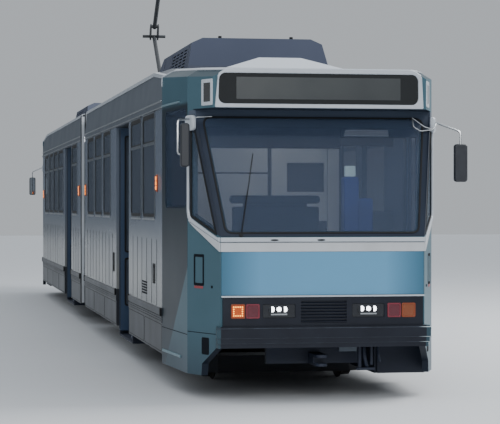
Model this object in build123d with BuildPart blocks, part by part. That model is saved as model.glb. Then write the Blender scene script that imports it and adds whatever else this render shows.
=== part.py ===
from build123d import *
import math
import os

os.makedirs("parts", exist_ok=True)

# Two-section double-ended tram. +X is forward, +Y the tram's left, +Z up, in millimetres.
# The origin is under the articulation pivot, on the floor that the wheel flanges stand on.
# Section B is section A turned half a turn about Z, so most pieces are drawn once, for section A.

# Driving sizes of the running gear
WHEEL_RADIUS = 330
FLANGE_DEPTH = 28
RAIL = FLANGE_DEPTH
AXLE_HEIGHT = RAIL + WHEEL_RADIUS
WHEEL_BACK = 690
WHEEL_WIDTH = 125
AXLE_RADIUS = 75
JOURNAL_RADIUS = 55
JOURNAL_REACH = 995
WHEELBASE = 1800
BOGIE_CENTRE = 8300

# Driving sizes of the body shell
HALF_LENGTH = 11815
FRONT = 11745
HALF_WIDTH = 1335
WALL = 60
SKIN = 40
BODY_END = 400
CAB_JOINT = 9900
SKIRT_BOTTOM = RAIL + 305
BAND_BOTTOM = RAIL + 629
RAIL_BAND = RAIL + 704
RUB_TOP = RAIL + 784
FLOOR = RAIL + 900
FLOOR_THICK = 40
SILL = RAIL + 1756
WINDOW_TOP = RAIL + 2857
CANT = RAIL + 2880
GUTTER = RAIL + 2970
CEILING = RAIL + 3250
ROOF_EDGE = RAIL + 3310
ROOF_TOP = RAIL + 3380
ROOF_EDGE_HALF = 1300
ROOF_FLAT_HALF = 900

# Cab outline in plan, and the heights on its face
BUMPER_BOTTOM = RAIL + 498
NOSE_HALF = 1007
CORNER_BACK = 594
CORNER_HALF = 1243
CAB_BOTTOM = RAIL + 211
LAMP_BOTTOM = RAIL + 703
PANEL_BOTTOM = RAIL + 986
SCREEN_BOTTOM = RAIL + 1565
SCREEN_TOP = RAIL + 2811
SCREEN_SETBACK = 490
BOX_SETBACK = 135
BOX_TOP = RAIL + 3186
CAB_ROOF_REAR = RAIL + 3300

# How far a cutting shape runs past the surface that it cuts
BEYOND = 50

# Articulation drum, which stands on the centre bogie
DRUM_RADIUS = 1290
DRUM_SKIN = 30
DRUM_CLEAR = 1345
DRUM_SPAN = 26

# Doors: leaf thickness and the small distances between leaves, hinges and jambs
LEAF_THICK = 32
LEAF_BOTTOM = RAIL + 249
LEAF_TOP = CANT - 12
LEAF_RECESS = 8
HINGE_IN = 18
HINGE_INSET = 6
SHAFT_RADIUS = 10
KNUCKLE_RADIUS = 5
JAMB_EDGE = -10
FOLD_GAP = 8
MEETING_GAP = 9
LEAF_EDGE = 62
LOWER_PANE = (LEAF_BOTTOM + 330, RAIL + 1180)
UPPER_PANE = (RAIL + 1270, LEAF_TOP - 110)
STEP_BOTTOM = RAIL + 205
STEP_PLATE = 25
STEP_MIDDLE = RAIL + 560
WELL_DEPTH = 755
FIRST_TREAD = 455
DOOR_WIDTH = 1500
LEFT_DOOR = 3040
RIGHT_DOOR = 5935
FRONT_DOOR_START = 160
FRONT_DOOR_WIDTH = 1020

# Windows in section A, each from its rear edge to its front edge
RIGHT_WINDOWS = [(975, 1965), (2220, 3195), (3500, 4440), (6985, 8015), (8200, 9300)]
LEFT_WINDOWS = [(1085, 2095), (4110, 5240), (5480, 6480), (6720, 7700), (7960, 9075)]
PANE = 10
REBATE = 22
WINDOW_CORNER = 70


def save(piece, name):
    piece.label = name
    export_step(piece, f"parts/{name}.step")


def save_for_both_sections(builder, name):
    save(builder.part, f"a_{name}")
    with BuildPart() as turned:
        add(builder.part, rotation=(0, 0, 180))
    save(turned.part, f"b_{name}")


def cab_outline(inset):
    """Half plan of the cab, from the joint to the nose, set in from the outside by inset."""
    return [
        (CAB_JOINT, HALF_WIDTH - inset),
        (FRONT - CORNER_BACK - 0.25 * inset, CORNER_HALF - inset),
        (FRONT - inset, NOSE_HALF - 0.65 * inset),
    ]


def cab_plan(inset, rear):
    """Whole plan of the cab as a closed list of points, counter-clockwise, starting at rear."""
    left = cab_outline(inset)
    left[0] = (rear, left[0][1])
    right = [(x, -y) for x, y in left]
    return right + left[::-1]


def upright_plane(x, y, normal_x, normal_y):
    """A plane through x, y that faces along the given level normal, with local y straight up."""
    return Plane(
        origin=(x, y, 0), x_dir=(-normal_y, normal_x, 0), z_dir=(normal_x, normal_y, 0)
    )


def wall_plane(side):
    """The outer face of one side wall: local x is X on the right side and -X on the left."""
    return upright_plane(0, side * HALF_WIDTH, 0, side)


def window_places(side, windows, grow=0):
    """Centre, length and height of each window of one side, on that side's wall plane."""
    height = WINDOW_TOP - SILL + 2 * grow
    middle = (SILL + WINDOW_TOP) / 2
    return [
        (-side * (rear + front) / 2, middle, front - rear + 2 * grow, height)
        for rear, front in windows
    ]


# Door geometry. A folding pair is drawn in the frame of its wall: u runs along the wall away from
# the jamb, w runs inwards, and the jamb hinge is at 0, 0, a shaft's clearance from the jamb.
class Pair:
    """Two leaves that fold inwards: hinge point, wall direction, inward direction, reach."""

    def __init__(self, name, hinge, along, inward, reach, is_open):
        self.name = name
        self.hinge = hinge
        self.along = along
        self.inward = inward
        self.reach = reach
        self.is_open = is_open
        self.fold = reach / 2
        self.fold_w = -(HINGE_INSET + LEAF_THICK + FOLD_GAP)

    def place(self, u, w):
        return (
            self.hinge[0] + u * self.along[0] + w * self.inward[0],
            self.hinge[1] + u * self.along[1] + w * self.inward[1],
        )

    def jamb_leaf(self, u, w):
        """Where a point of the shut jamb leaf is at rest."""
        return self.place(-w, u) if self.is_open else self.place(u, w)

    def end_leaf(self, u, w):
        """Where a point of the shut end leaf is at rest."""
        if not self.is_open:
            return self.place(u, w)
        du = u - self.fold
        dw = w - self.fold_w
        return self.place(-self.fold_w + dw, self.fold - du)


LEAF_OUTER = -(HINGE_INSET + LEAF_THICK)
LEAF_INNER = -HINGE_INSET


def outline_points(put, points):
    """Points given as u and w, placed in plan by put and listed counter-clockwise."""
    placed = [put(u, w) for u, w in points]
    area = sum(x0 * y1 - x1 * y0 for (x0, y0), (x1, y1) in zip(placed, placed[1:] + placed[:1]))
    return placed if area > 0 else placed[::-1]


def strip(u_low, u_high, w_low, w_high):
    return [(u_low, w_low), (u_high, w_low), (u_high, w_high), (u_low, w_high)]


def make_leaf(put, start, stop, rounds, plates):
    """One door leaf between two places along the wall, with its window openings. Rounds are the
    shaft and knuckle that it turns on, and plates are the hinge straps that carry them."""
    with BuildPart() as leaf:
        with BuildSketch(Plane.XY.offset(LEAF_BOTTOM)):
            for points in [strip(start, stop, LEAF_OUTER, LEAF_INNER)] + plates:
                Polygon(*outline_points(put, points), align=None)
            for u, w, radius in rounds:
                with Locations(put(u, w)):
                    Circle(radius)
        extrude(amount=LEAF_TOP - LEAF_BOTTOM)
        opening = strip(start + LEAF_EDGE, stop - LEAF_EDGE, LEAF_OUTER - 1, LEAF_INNER + 1)
        for low, high in (LOWER_PANE, UPPER_PANE):
            with BuildSketch(Plane.XY.offset(low)):
                Polygon(*outline_points(put, opening), align=None)
            extrude(amount=high - low, mode=Mode.SUBTRACT)
    return leaf.part


def doorway_pairs(section, side_name, centre, is_open):
    """The two folding pairs of one double doorway, given in section A's own frame."""
    side = 1 if side_name == "left" else -1
    turn = 1 if section == "a" else -1
    hinge_y = side * (HALF_WIDTH - LEAF_RECESS - LEAF_THICK - HINGE_INSET)
    pairs = []
    for end_name, end in (("aft", -1), ("fore", 1)):
        hinge_x = centre + end * (DOOR_WIDTH / 2 - HINGE_IN)
        pairs.append(
            Pair(
                f"{section}_{side_name}_door_{end_name}",
                (turn * hinge_x, turn * hinge_y),
                (-turn * end, 0),
                (0, -turn * side),
                DOOR_WIDTH / 2 - HINGE_IN - MEETING_GAP,
                is_open,
            )
        )
    return pairs


def front_door_pair(section):
    """The single folding pair in the tapered left side of the cab, hinged at its rear jamb."""
    turn = 1 if section == "a" else -1
    x_rear, y_rear = cab_outline(0)[0]
    x_fore, y_fore = cab_outline(0)[1]
    length = math.hypot(x_fore - x_rear, y_fore - y_rear)
    along = ((x_fore - x_rear) / length, (y_fore - y_rear) / length)
    inward = (along[1], -along[0])
    depth = LEAF_RECESS + LEAF_THICK + HINGE_INSET
    start = FRONT_DOOR_START + HINGE_IN
    hinge = (
        x_rear + start * along[0] + depth * inward[0],
        y_rear + start * along[1] + depth * inward[1],
    )
    return Pair(
        f"{section}_front_door",
        (turn * hinge[0], turn * hinge[1]),
        (turn * along[0], turn * along[1]),
        (turn * inward[0], turn * inward[1]),
        FRONT_DOOR_WIDTH - HINGE_IN - 2 * MEETING_GAP,
        False,
    )


# The doors on the tram's right stand open and the others are shut. Section B's own left side
# is the tram's right side.
DOOR_PAIRS = (
    doorway_pairs("a", "right", RIGHT_DOOR, True)
    + doorway_pairs("a", "left", LEFT_DOOR, False)
    + [front_door_pair("a")]
    + doorway_pairs("b", "left", LEFT_DOOR, True)
    + doorway_pairs("b", "right", RIGHT_DOOR, False)
    + [front_door_pair("b")]
)

for pair in DOOR_PAIRS:
    jamb_stop = pair.fold - FOLD_GAP
    shaft_and_knuckle = [(0, 0, SHAFT_RADIUS), (pair.fold, pair.fold_w, KNUCKLE_RADIUS)]
    knuckle_strap = [
        (jamb_stop - 22, LEAF_OUTER + 2),
        (jamb_stop - 1, LEAF_OUTER + 2),
        (pair.fold + 2, pair.fold_w + 4),
        (pair.fold - 2, pair.fold_w - 4),
    ]
    jamb = make_leaf(pair.jamb_leaf, JAMB_EDGE, jamb_stop, shaft_and_knuckle, [knuckle_strap])
    save(jamb, f"{pair.name}_jamb_leaf")
    end = make_leaf(pair.end_leaf, pair.fold + FOLD_GAP, pair.reach, [], [])
    save(end, f"{pair.name}_end_leaf")

# Door openings of section A: side, rear edge, front edge
OPENINGS = [
    (-1, RIGHT_DOOR - DOOR_WIDTH / 2, RIGHT_DOOR + DOOR_WIDTH / 2),
    (1, LEFT_DOOR - DOOR_WIDTH / 2, LEFT_DOOR + DOOR_WIDTH / 2),
]
FRONT_WELL_REAR = CAB_JOINT + FRONT_DOOR_START - 55
FRONT_WELL_FORE = FRONT_WELL_REAR + FRONT_DOOR_WIDTH + 65
FRONT_WELL_INNER = 690
FRONT_WELL_OUTER = 1180

# Side walls: a plate each side of each doorway, cut for its windows, with a rebate for the pane
WINDOWS = {-1: RIGHT_WINDOWS, 1: LEFT_WINDOWS}
with BuildPart() as side_walls:
    for side, opening_rear, opening_front in OPENINGS:
        with BuildSketch(wall_plane(side)):
            for rear, front in ((BODY_END, opening_rear), (opening_front, CAB_JOINT)):
                with Locations((-side * (rear + front) / 2, (RUB_TOP + CANT) / 2)):
                    Rectangle(front - rear, CANT - RUB_TOP)
        extrude(amount=-WALL)
        for grow, depth in ((0, PANE), (-REBATE, WALL)):
            with BuildSketch(wall_plane(side)):
                for x, z, length, height in window_places(side, WINDOWS[side], grow):
                    with Locations((x, z)):
                        RectangleRounded(length, height, WINDOW_CORNER + grow)
            extrude(amount=-depth, mode=Mode.SUBTRACT)
save_for_both_sections(side_walls, "side_walls")

# Side window panes, which lie in the rebates of the walls
with BuildPart() as side_glass:
    for side in (-1, 1):
        with BuildSketch(wall_plane(side)):
            for x, z, length, height in window_places(side, WINDOWS[side]):
                with Locations((x, z)):
                    RectangleRounded(length, height, WINDOW_CORNER)
        extrude(amount=-PANE)
save_for_both_sections(side_glass, "side_glass")

# Skirts: pressed panel, ribbed band and rub rail in one section, cut away at the doorways
RUB_REACH = 1352
RIB = 6
RIB_PITCH = 25
RIBS = 3
with BuildPart() as skirts:
    for side, opening_rear, opening_front in OPENINGS:
        for rear, front in ((BODY_END, opening_rear), (opening_front, CAB_JOINT)):
            section = [
                (HALF_WIDTH - SKIN, SKIRT_BOTTOM),
                (HALF_WIDTH - 4, SKIRT_BOTTOM),
                (HALF_WIDTH, SKIRT_BOTTOM + 6),
                (HALF_WIDTH, BAND_BOTTOM),
            ]
            for step in range(RIBS):
                low = BAND_BOTTOM + RIB_PITCH * step
                section += [
                    (HALF_WIDTH + RIB, low + 4),
                    (HALF_WIDTH + RIB, low + 17),
                    (HALF_WIDTH, low + 21),
                ]
            section += [
                (HALF_WIDTH, RAIL_BAND),
                (RUB_REACH, RAIL_BAND + 8),
                (RUB_REACH, RUB_TOP - 12),
                (HALF_WIDTH, RUB_TOP),
                (HALF_WIDTH - SKIN, RUB_TOP),
            ]
            with BuildSketch(Plane.YZ.offset(rear)):
                with BuildLine():
                    Polyline([(side * y, z) for y, z in section], close=True)
                make_face()
            extrude(amount=front - rear)
save_for_both_sections(skirts, "skirts")

# Roof: cant rails, coving and top in one section from the articulation to the cab joint. Its front
# end slopes down to meet the cab roof, and a fairing stands on the slope.
FAIRING_X = 9410
FAIRING_LENGTH = 960
FAIRING_WIDTH = 1510
FAIRING_CREST = (9390, 240, 460)
FAIRING_LOW = ROOF_TOP - 85
FAIRING_HIGH = ROOF_TOP + 87
EAVE_DROP = 90
EAVE_INSET = 150
SLOPE_START = 9000
SLOPE_RISE = (ROOF_TOP - CAB_ROOF_REAR) / (CAB_JOINT - SLOPE_START)
with BuildPart() as roof:
    half = [
        (HALF_WIDTH - WALL, CANT),
        (HALF_WIDTH, CANT),
        (HALF_WIDTH, GUTTER - 12),
        (HALF_WIDTH + 10, GUTTER),
        (HALF_WIDTH, GUTTER + 8),
        (ROOF_EDGE_HALF, ROOF_EDGE),
        (ROOF_FLAT_HALF, ROOF_TOP),
    ]
    inner = [(HALF_WIDTH - WALL - 30, CEILING), (HALF_WIDTH - WALL, GUTTER)]
    right_half = [(-y, z) for y, z in inner + half]
    outline = half + right_half[::-1] + inner
    with BuildSketch(Plane.YZ.offset(BODY_END)):
        with BuildLine():
            Polyline(outline, close=True)
        make_face()
    extrude(amount=CAB_JOINT - BODY_END)
    crown_half = HALF_WIDTH - EAVE_INSET
    with BuildSketch(Plane.YZ.offset(CAB_JOINT)):
        Polygon(
            (-HALF_WIDTH, CAB_ROOF_REAR - EAVE_DROP),
            (-HALF_WIDTH - 50, CAB_ROOF_REAR - EAVE_DROP),
            (-HALF_WIDTH - 50, ROOF_TOP + 50),
            (HALF_WIDTH + 50, ROOF_TOP + 50),
            (HALF_WIDTH + 50, CAB_ROOF_REAR - EAVE_DROP),
            (HALF_WIDTH, CAB_ROOF_REAR - EAVE_DROP),
            (crown_half, CAB_ROOF_REAR),
            (-crown_half, CAB_ROOF_REAR),
            align=None,
        )
    slope = Vector(-1, 0, SLOPE_RISE)
    extrude(
        amount=(CAB_JOINT - SLOPE_START) * slope.length, dir=slope.normalized(), mode=Mode.SUBTRACT
    )
    crest_x, crest_length, crest_width = FAIRING_CREST
    with BuildSketch(Plane.XY.offset(FAIRING_LOW)):
        with Locations((FAIRING_X, 0)):
            Rectangle(FAIRING_LENGTH, FAIRING_WIDTH)
    with BuildSketch(Plane.XY.offset(FAIRING_HIGH)):
        with Locations((crest_x, 0)):
            Rectangle(crest_length, crest_width)
    loft()
save_for_both_sections(roof, "roof")

# Underframe: floor plate, sole bars, bolster, step wells and underfloor equipment cases
SOLE_INNER = 480
SOLE_OUTER = 560
SOLE_BOTTOM = RAIL + 700
SOLE_REAR = 1500
SOLE_FRONT = 11300
PANEL_GAP = 2
LAP = 10
HEADSTOCK = 90
HEADSTOCK_BOTTOM = RAIL + 305
TOW_BOTTOM = RAIL + 305
TOW_TOP = RAIL + 415
TOW_EAR = 26
TOW_WIDTH = 120
CLEVIS_ROOT = 11560
TOW_X = 11640
TOW_BORE = 23
PIVOT_RADIUS = 100
BOLSTER_RADIUS = 260
BOLSTER_BOTTOM = RAIL + 575
PIVOT_BOTTOM = RAIL + 470
CASE_BOTTOM = RAIL + 340
CAB_FLOOR_GAP = 2
CASE_CORNER = 30
WELL_OUTER = HALF_WIDTH - SKIN - 5
WELL_INNER = HALF_WIDTH - WELL_DEPTH
RISER = HALF_WIDTH - FIRST_TREAD
# Equipment cases: rear edge, front edge, inner side, outer side
CASES = [
    (1700, 4950, -1215, -640),
    (4150, 6550, 640, 1215),
    (4150, 5000, -470, 470),
]
# Joints between the floor panels: rear, front, inner side, outer side
AISLE_EDGE = HALF_WIDTH - WELL_DEPTH - 2 * PANEL_GAP
FLOOR_JOINTS = [
    (BODY_END, CAB_JOINT, AISLE_EDGE, AISLE_EDGE + PANEL_GAP),
    (BODY_END, CAB_JOINT, -AISLE_EDGE - PANEL_GAP, -AISLE_EDGE),
    (CAB_JOINT - 20, CAB_JOINT - 20 + PANEL_GAP, -HALF_WIDTH, HALF_WIDTH),
    (CAB_JOINT - 20, FRONT, FRONT_WELL_INNER - 2 * PANEL_GAP, FRONT_WELL_INNER - PANEL_GAP),
]
UNDER_FLOOR = FLOOR - FLOOR_THICK - PANEL_GAP
with BuildPart() as underframe:
    with BuildSketch(Plane.XY.offset(FLOOR - FLOOR_THICK)):
        with BuildLine():
            Polyline(
                [(BODY_END, -HALF_WIDTH + WALL), (CAB_JOINT - 10, -HALF_WIDTH + WALL)]
                + cab_plan(WALL + CAB_FLOOR_GAP, CAB_JOINT)
                + [(CAB_JOINT - 10, HALF_WIDTH - WALL), (BODY_END, HALF_WIDTH - WALL)],
                close=True,
            )
        make_face()
        Circle(DRUM_CLEAR, mode=Mode.SUBTRACT)
        for side, rear, front in OPENINGS:
            with Locations(((rear + front) / 2, side * (HALF_WIDTH - WELL_DEPTH / 2))):
                Rectangle(front - rear, WELL_DEPTH, mode=Mode.SUBTRACT)
        with Locations(((FRONT_WELL_REAR + FRONT_WELL_FORE) / 2, FRONT_WELL_INNER + HALF_WIDTH / 2)):
            Rectangle(FRONT_WELL_FORE - FRONT_WELL_REAR, HALF_WIDTH, mode=Mode.SUBTRACT)
        for rear, front, y_low, y_high in FLOOR_JOINTS:
            with Locations(((rear + front) / 2, (y_low + y_high) / 2)):
                Rectangle(front - rear, y_high - y_low, mode=Mode.SUBTRACT)
    extrude(amount=FLOOR_THICK)
    for side in (-1, 1):
        with BuildSketch(Plane.XY.offset(SOLE_BOTTOM)):
            with Locations(((SOLE_REAR + SOLE_FRONT) / 2, side * (SOLE_INNER + SOLE_OUTER) / 2)):
                Rectangle(SOLE_FRONT - SOLE_REAR, SOLE_OUTER - SOLE_INNER)
        extrude(amount=UNDER_FLOOR - SOLE_BOTTOM)
    with BuildSketch(Plane.XY.offset(BOLSTER_BOTTOM)):
        with Locations((BOGIE_CENTRE, 0)):
            Circle(BOLSTER_RADIUS)
    extrude(amount=UNDER_FLOOR - BOLSTER_BOTTOM)
    with BuildSketch(Plane.XY.offset(PIVOT_BOTTOM)):
        with Locations((BOGIE_CENTRE, 0)):
            Circle(PIVOT_RADIUS)
    extrude(amount=BOLSTER_BOTTOM + LAP - PIVOT_BOTTOM)
    for rear, front, y_low, y_high in CASES:
        with BuildSketch(Plane.XY.offset(CASE_BOTTOM)):
            with Locations(((rear + front) / 2, (y_low + y_high) / 2)):
                RectangleRounded(front - rear, y_high - y_low, CASE_CORNER)
        extrude(amount=UNDER_FLOOR - CASE_BOTTOM)
    # Headstock across the front of the sole bars, with a drawbar that ends in the tow clevis
    with BuildSketch(Plane.XY.offset(HEADSTOCK_BOTTOM)):
        with Locations((SOLE_FRONT - HEADSTOCK / 2, 0)):
            Rectangle(HEADSTOCK, 2 * (SOLE_INNER - PANEL_GAP))
    extrude(amount=UNDER_FLOOR - HEADSTOCK_BOTTOM)
    with BuildSketch(Plane.XY.offset(TOW_BOTTOM)):
        with Locations(((SOLE_FRONT - HEADSTOCK + CLEVIS_ROOT) / 2, 0)):
            Rectangle(CLEVIS_ROOT - SOLE_FRONT + HEADSTOCK, TOW_WIDTH)
    extrude(amount=TOW_TOP - TOW_BOTTOM)
    for ear_bottom in (TOW_BOTTOM, TOW_TOP - TOW_EAR):
        with BuildSketch(Plane.XY.offset(ear_bottom)):
            with Locations(((CLEVIS_ROOT - LAP + TOW_X) / 2, 0)):
                Rectangle(TOW_X - CLEVIS_ROOT + LAP, TOW_WIDTH)
            with Locations((TOW_X, 0)):
                Circle(TOW_WIDTH / 2)
                Circle(TOW_BORE, mode=Mode.SUBTRACT)
        extrude(amount=TOW_EAR)
    # Each step well is a pressed trough, seen from its doorway as two steps below the floor
    for side, rear, front in OPENINGS:
        well = [
            (WELL_OUTER, STEP_BOTTOM - STEP_PLATE),
            (WELL_OUTER, STEP_BOTTOM),
            (RISER, STEP_BOTTOM),
            (RISER, STEP_MIDDLE),
            (WELL_INNER, STEP_MIDDLE),
            (WELL_INNER, UNDER_FLOOR),
            (WELL_INNER - STEP_PLATE, UNDER_FLOOR),
            (WELL_INNER - STEP_PLATE, STEP_MIDDLE - STEP_PLATE),
            (RISER - STEP_PLATE, STEP_MIDDLE - STEP_PLATE),
            (RISER - STEP_PLATE, STEP_BOTTOM - STEP_PLATE),
        ]
        cheek = [
            (WELL_OUTER, STEP_BOTTOM - STEP_PLATE),
            (WELL_OUTER, SOLE_BOTTOM),
            (HALF_WIDTH - WALL, SOLE_BOTTOM),
            (HALF_WIDTH - WALL, UNDER_FLOOR),
            (WELL_INNER - STEP_PLATE, UNDER_FLOOR),
            (WELL_INNER - STEP_PLATE, SOLE_BOTTOM),
            (RISER - STEP_PLATE, STEP_BOTTOM - STEP_PLATE),
        ]
        for profile, start, length in (
            (well, rear + PANEL_GAP, front - rear - 2 * PANEL_GAP),
            (cheek, rear - STEP_PLATE, STEP_PLATE),
            (cheek, front, STEP_PLATE),
        ):
            with BuildSketch(Plane.YZ.offset(start)):
                with BuildLine():
                    Polyline([(side * y, z) for y, z in profile], close=True)
                make_face()
            extrude(amount=length)
    # The front door's well, one deep trough beside the driver: tread, inner wall and two cheeks
    well_mid = (FRONT_WELL_REAR + FRONT_WELL_FORE) / 2
    well_long = FRONT_WELL_FORE - FRONT_WELL_REAR
    with BuildSketch(Plane.XY.offset(STEP_BOTTOM - STEP_PLATE)):
        with Locations((well_mid, (FRONT_WELL_INNER + FRONT_WELL_OUTER) / 2)):
            Rectangle(well_long - 2 * PANEL_GAP, FRONT_WELL_OUTER - FRONT_WELL_INNER - 2 * PANEL_GAP)
    extrude(amount=STEP_PLATE)
    with BuildSketch(Plane.XY.offset(STEP_BOTTOM - STEP_PLATE)):
        with Locations((well_mid, FRONT_WELL_INNER - STEP_PLATE / 2)):
            Rectangle(well_long - 2 * PANEL_GAP, STEP_PLATE)
        for cheek in (FRONT_WELL_REAR - STEP_PLATE / 2, FRONT_WELL_FORE + STEP_PLATE / 2):
            with Locations((cheek, (FRONT_WELL_INNER + FRONT_WELL_OUTER) / 2)):
                Rectangle(STEP_PLATE, FRONT_WELL_OUTER - FRONT_WELL_INNER)
    extrude(amount=UNDER_FLOOR - STEP_BOTTOM + STEP_PLATE)

# Each section's draw arm ends in a ring round the centre bogie's column, one above the other
COLUMN_RADIUS = 200
RING_BORE = 206
RING_RADIUS = 330
ARM_HALF = 200
ARM_THICK = 50
ARM_ROOT = (1460, 1560)
for section, turn, ring_bottom in (("a", 0, RAIL + 640), ("b", 180, RAIL + 700)):
    with BuildPart() as with_arm:
        add(underframe.part)
        with BuildSketch(Plane.XY.offset(ring_bottom)):
            with Locations((ARM_ROOT[1] / 2, 0)):
                Rectangle(ARM_ROOT[1], 2 * ARM_HALF)
            Circle(RING_RADIUS)
            Circle(RING_BORE, mode=Mode.SUBTRACT)
        extrude(amount=ARM_THICK)
        with BuildSketch(Plane.XY.offset(ring_bottom)):
            with Locations(((ARM_ROOT[0] + ARM_ROOT[1]) / 2, 0)):
                Rectangle(ARM_ROOT[1] - ARM_ROOT[0], 2 * (SOLE_INNER - PANEL_GAP))
        extrude(amount=UNDER_FLOOR - ring_bottom)
    with BuildPart() as placed:
        add(with_arm.part, rotation=(0, 0, turn))
    save(placed.part, f"{section}_underframe")

# Cab shell: vertical walls on a faceted plan, raked windscreen, overhanging sign box
SLOPE = math.atan2(SCREEN_SETBACK, SCREEN_TOP - SCREEN_BOTTOM)
SCREEN_PLANE = Plane(
    origin=(FRONT, 0, SCREEN_BOTTOM),
    x_dir=(0, 1, 0),
    z_dir=(math.cos(SLOPE), 0, math.sin(SLOPE)),
)
CORNER_ANGLE = math.atan2(CORNER_HALF - NOSE_HALF, CORNER_BACK)
FACET_LENGTH = math.hypot(CORNER_BACK, CORNER_HALF - NOSE_HALF)
SIDE_ANGLE = math.atan2(HALF_WIDTH - CORNER_HALF, FRONT - CORNER_BACK - CAB_JOINT)


def facet_plane(side):
    """The corner facet's outer face. A distance back from the nose is side times local x."""
    return upright_plane(
        FRONT, side * NOSE_HALF, math.sin(CORNER_ANGLE), side * math.cos(CORNER_ANGLE)
    )


def taper_plane(side):
    """The tapered cab side's outer face. A distance forward from the joint is -side times x."""
    return upright_plane(
        CAB_JOINT, side * HALF_WIDTH, math.sin(SIDE_ANGLE), side * math.cos(SIDE_ANGLE)
    )


# Roof eaves: a plane parallel to the crown, one eave's drop below it
CROWN_FRONT = FRONT + 90
CROWN_SLOPE = math.atan2(CAB_ROOF_REAR - BOX_TOP, CROWN_FRONT - CAB_JOINT)
EAVE_SPAN = 3000
EAVE_PAST = 600
EAVE_TAPER = math.degrees(math.atan2(EAVE_INSET, EAVE_DROP))
EAVE_PLANE = Plane(
    origin=(CAB_JOINT, 0, CAB_ROOF_REAR - EAVE_DROP),
    x_dir=(math.cos(CROWN_SLOPE), 0, -math.sin(CROWN_SLOPE)),
    z_dir=(math.sin(CROWN_SLOPE), 0, math.cos(CROWN_SLOPE)),
)


def eave_outline():
    """The cab's plan measured from the joint, run on past both of its ends."""
    rear = (-EAVE_PAST, HALF_WIDTH + EAVE_PAST * math.tan(SIDE_ANGLE))
    corner = (FRONT - CORNER_BACK - CAB_JOINT, CORNER_HALF)
    front = (FRONT - CAB_JOINT + EAVE_PAST, NOSE_HALF - EAVE_PAST * math.tan(CORNER_ANGLE))
    left = [rear, corner, front]
    return [(x, -y) for x, y in left] + left[::-1]


# Windscreen outline on the raked plane, and quarter light outline on the corner facet
SCREEN_OUTLINE = [(-950, 40), (950, 40), (1110, 1250), (-1110, 1250)]
QUARTER_OUTLINE = [
    (70, RAIL + 1592),
    (560, RAIL + 1762),
    (560, RAIL + 2672),
    (510, RAIL + 2672),
]
# Driver's side window, as forward distances from the joint and heights
CAB_WINDOW = (165, 1205, RAIL + 1840, RAIL + 2834)

# Depths of the cuts that go right through a wall, and through the raked screen's sill
CUT_WALL = 75
CUT_SCREEN = 170
# The apron's lower front edge, as distances back from the nose and heights
UNDERCUT = [(50, BUMPER_BOTTOM + 12), (325, RAIL + 328), (345, CAB_BOTTOM)]


def screen_sketch(grow):
    """The windscreen's rounded outline, grown by grow, in the sketch that is open."""
    Polygon(*SCREEN_OUTLINE, align=None)
    fillet(vertices(), 70)
    if grow:
        offset(amount=grow, kind=Kind.INTERSECTION, mode=Mode.REPLACE)


def quarter_sketch(side, grow):
    """A quarter light's outline, grown by grow, in the sketch that is open."""
    Polygon(*[(side * back, z) for back, z in QUARTER_OUTLINE], align=None)
    fillet(vertices().sort_by(Axis.Y)[:2], 45)
    if grow:
        offset(amount=grow, kind=Kind.INTERSECTION, mode=Mode.REPLACE)


def cab_window_sketch(grow):
    """The driver's side window, grown by grow, in the sketch that is open."""
    rear, front, low, high = CAB_WINDOW
    with Locations(((rear + front) / 2, (low + high) / 2)):
        RectangleRounded(front - rear + 2 * grow, high - low + 2 * grow, 90 + grow)


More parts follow.
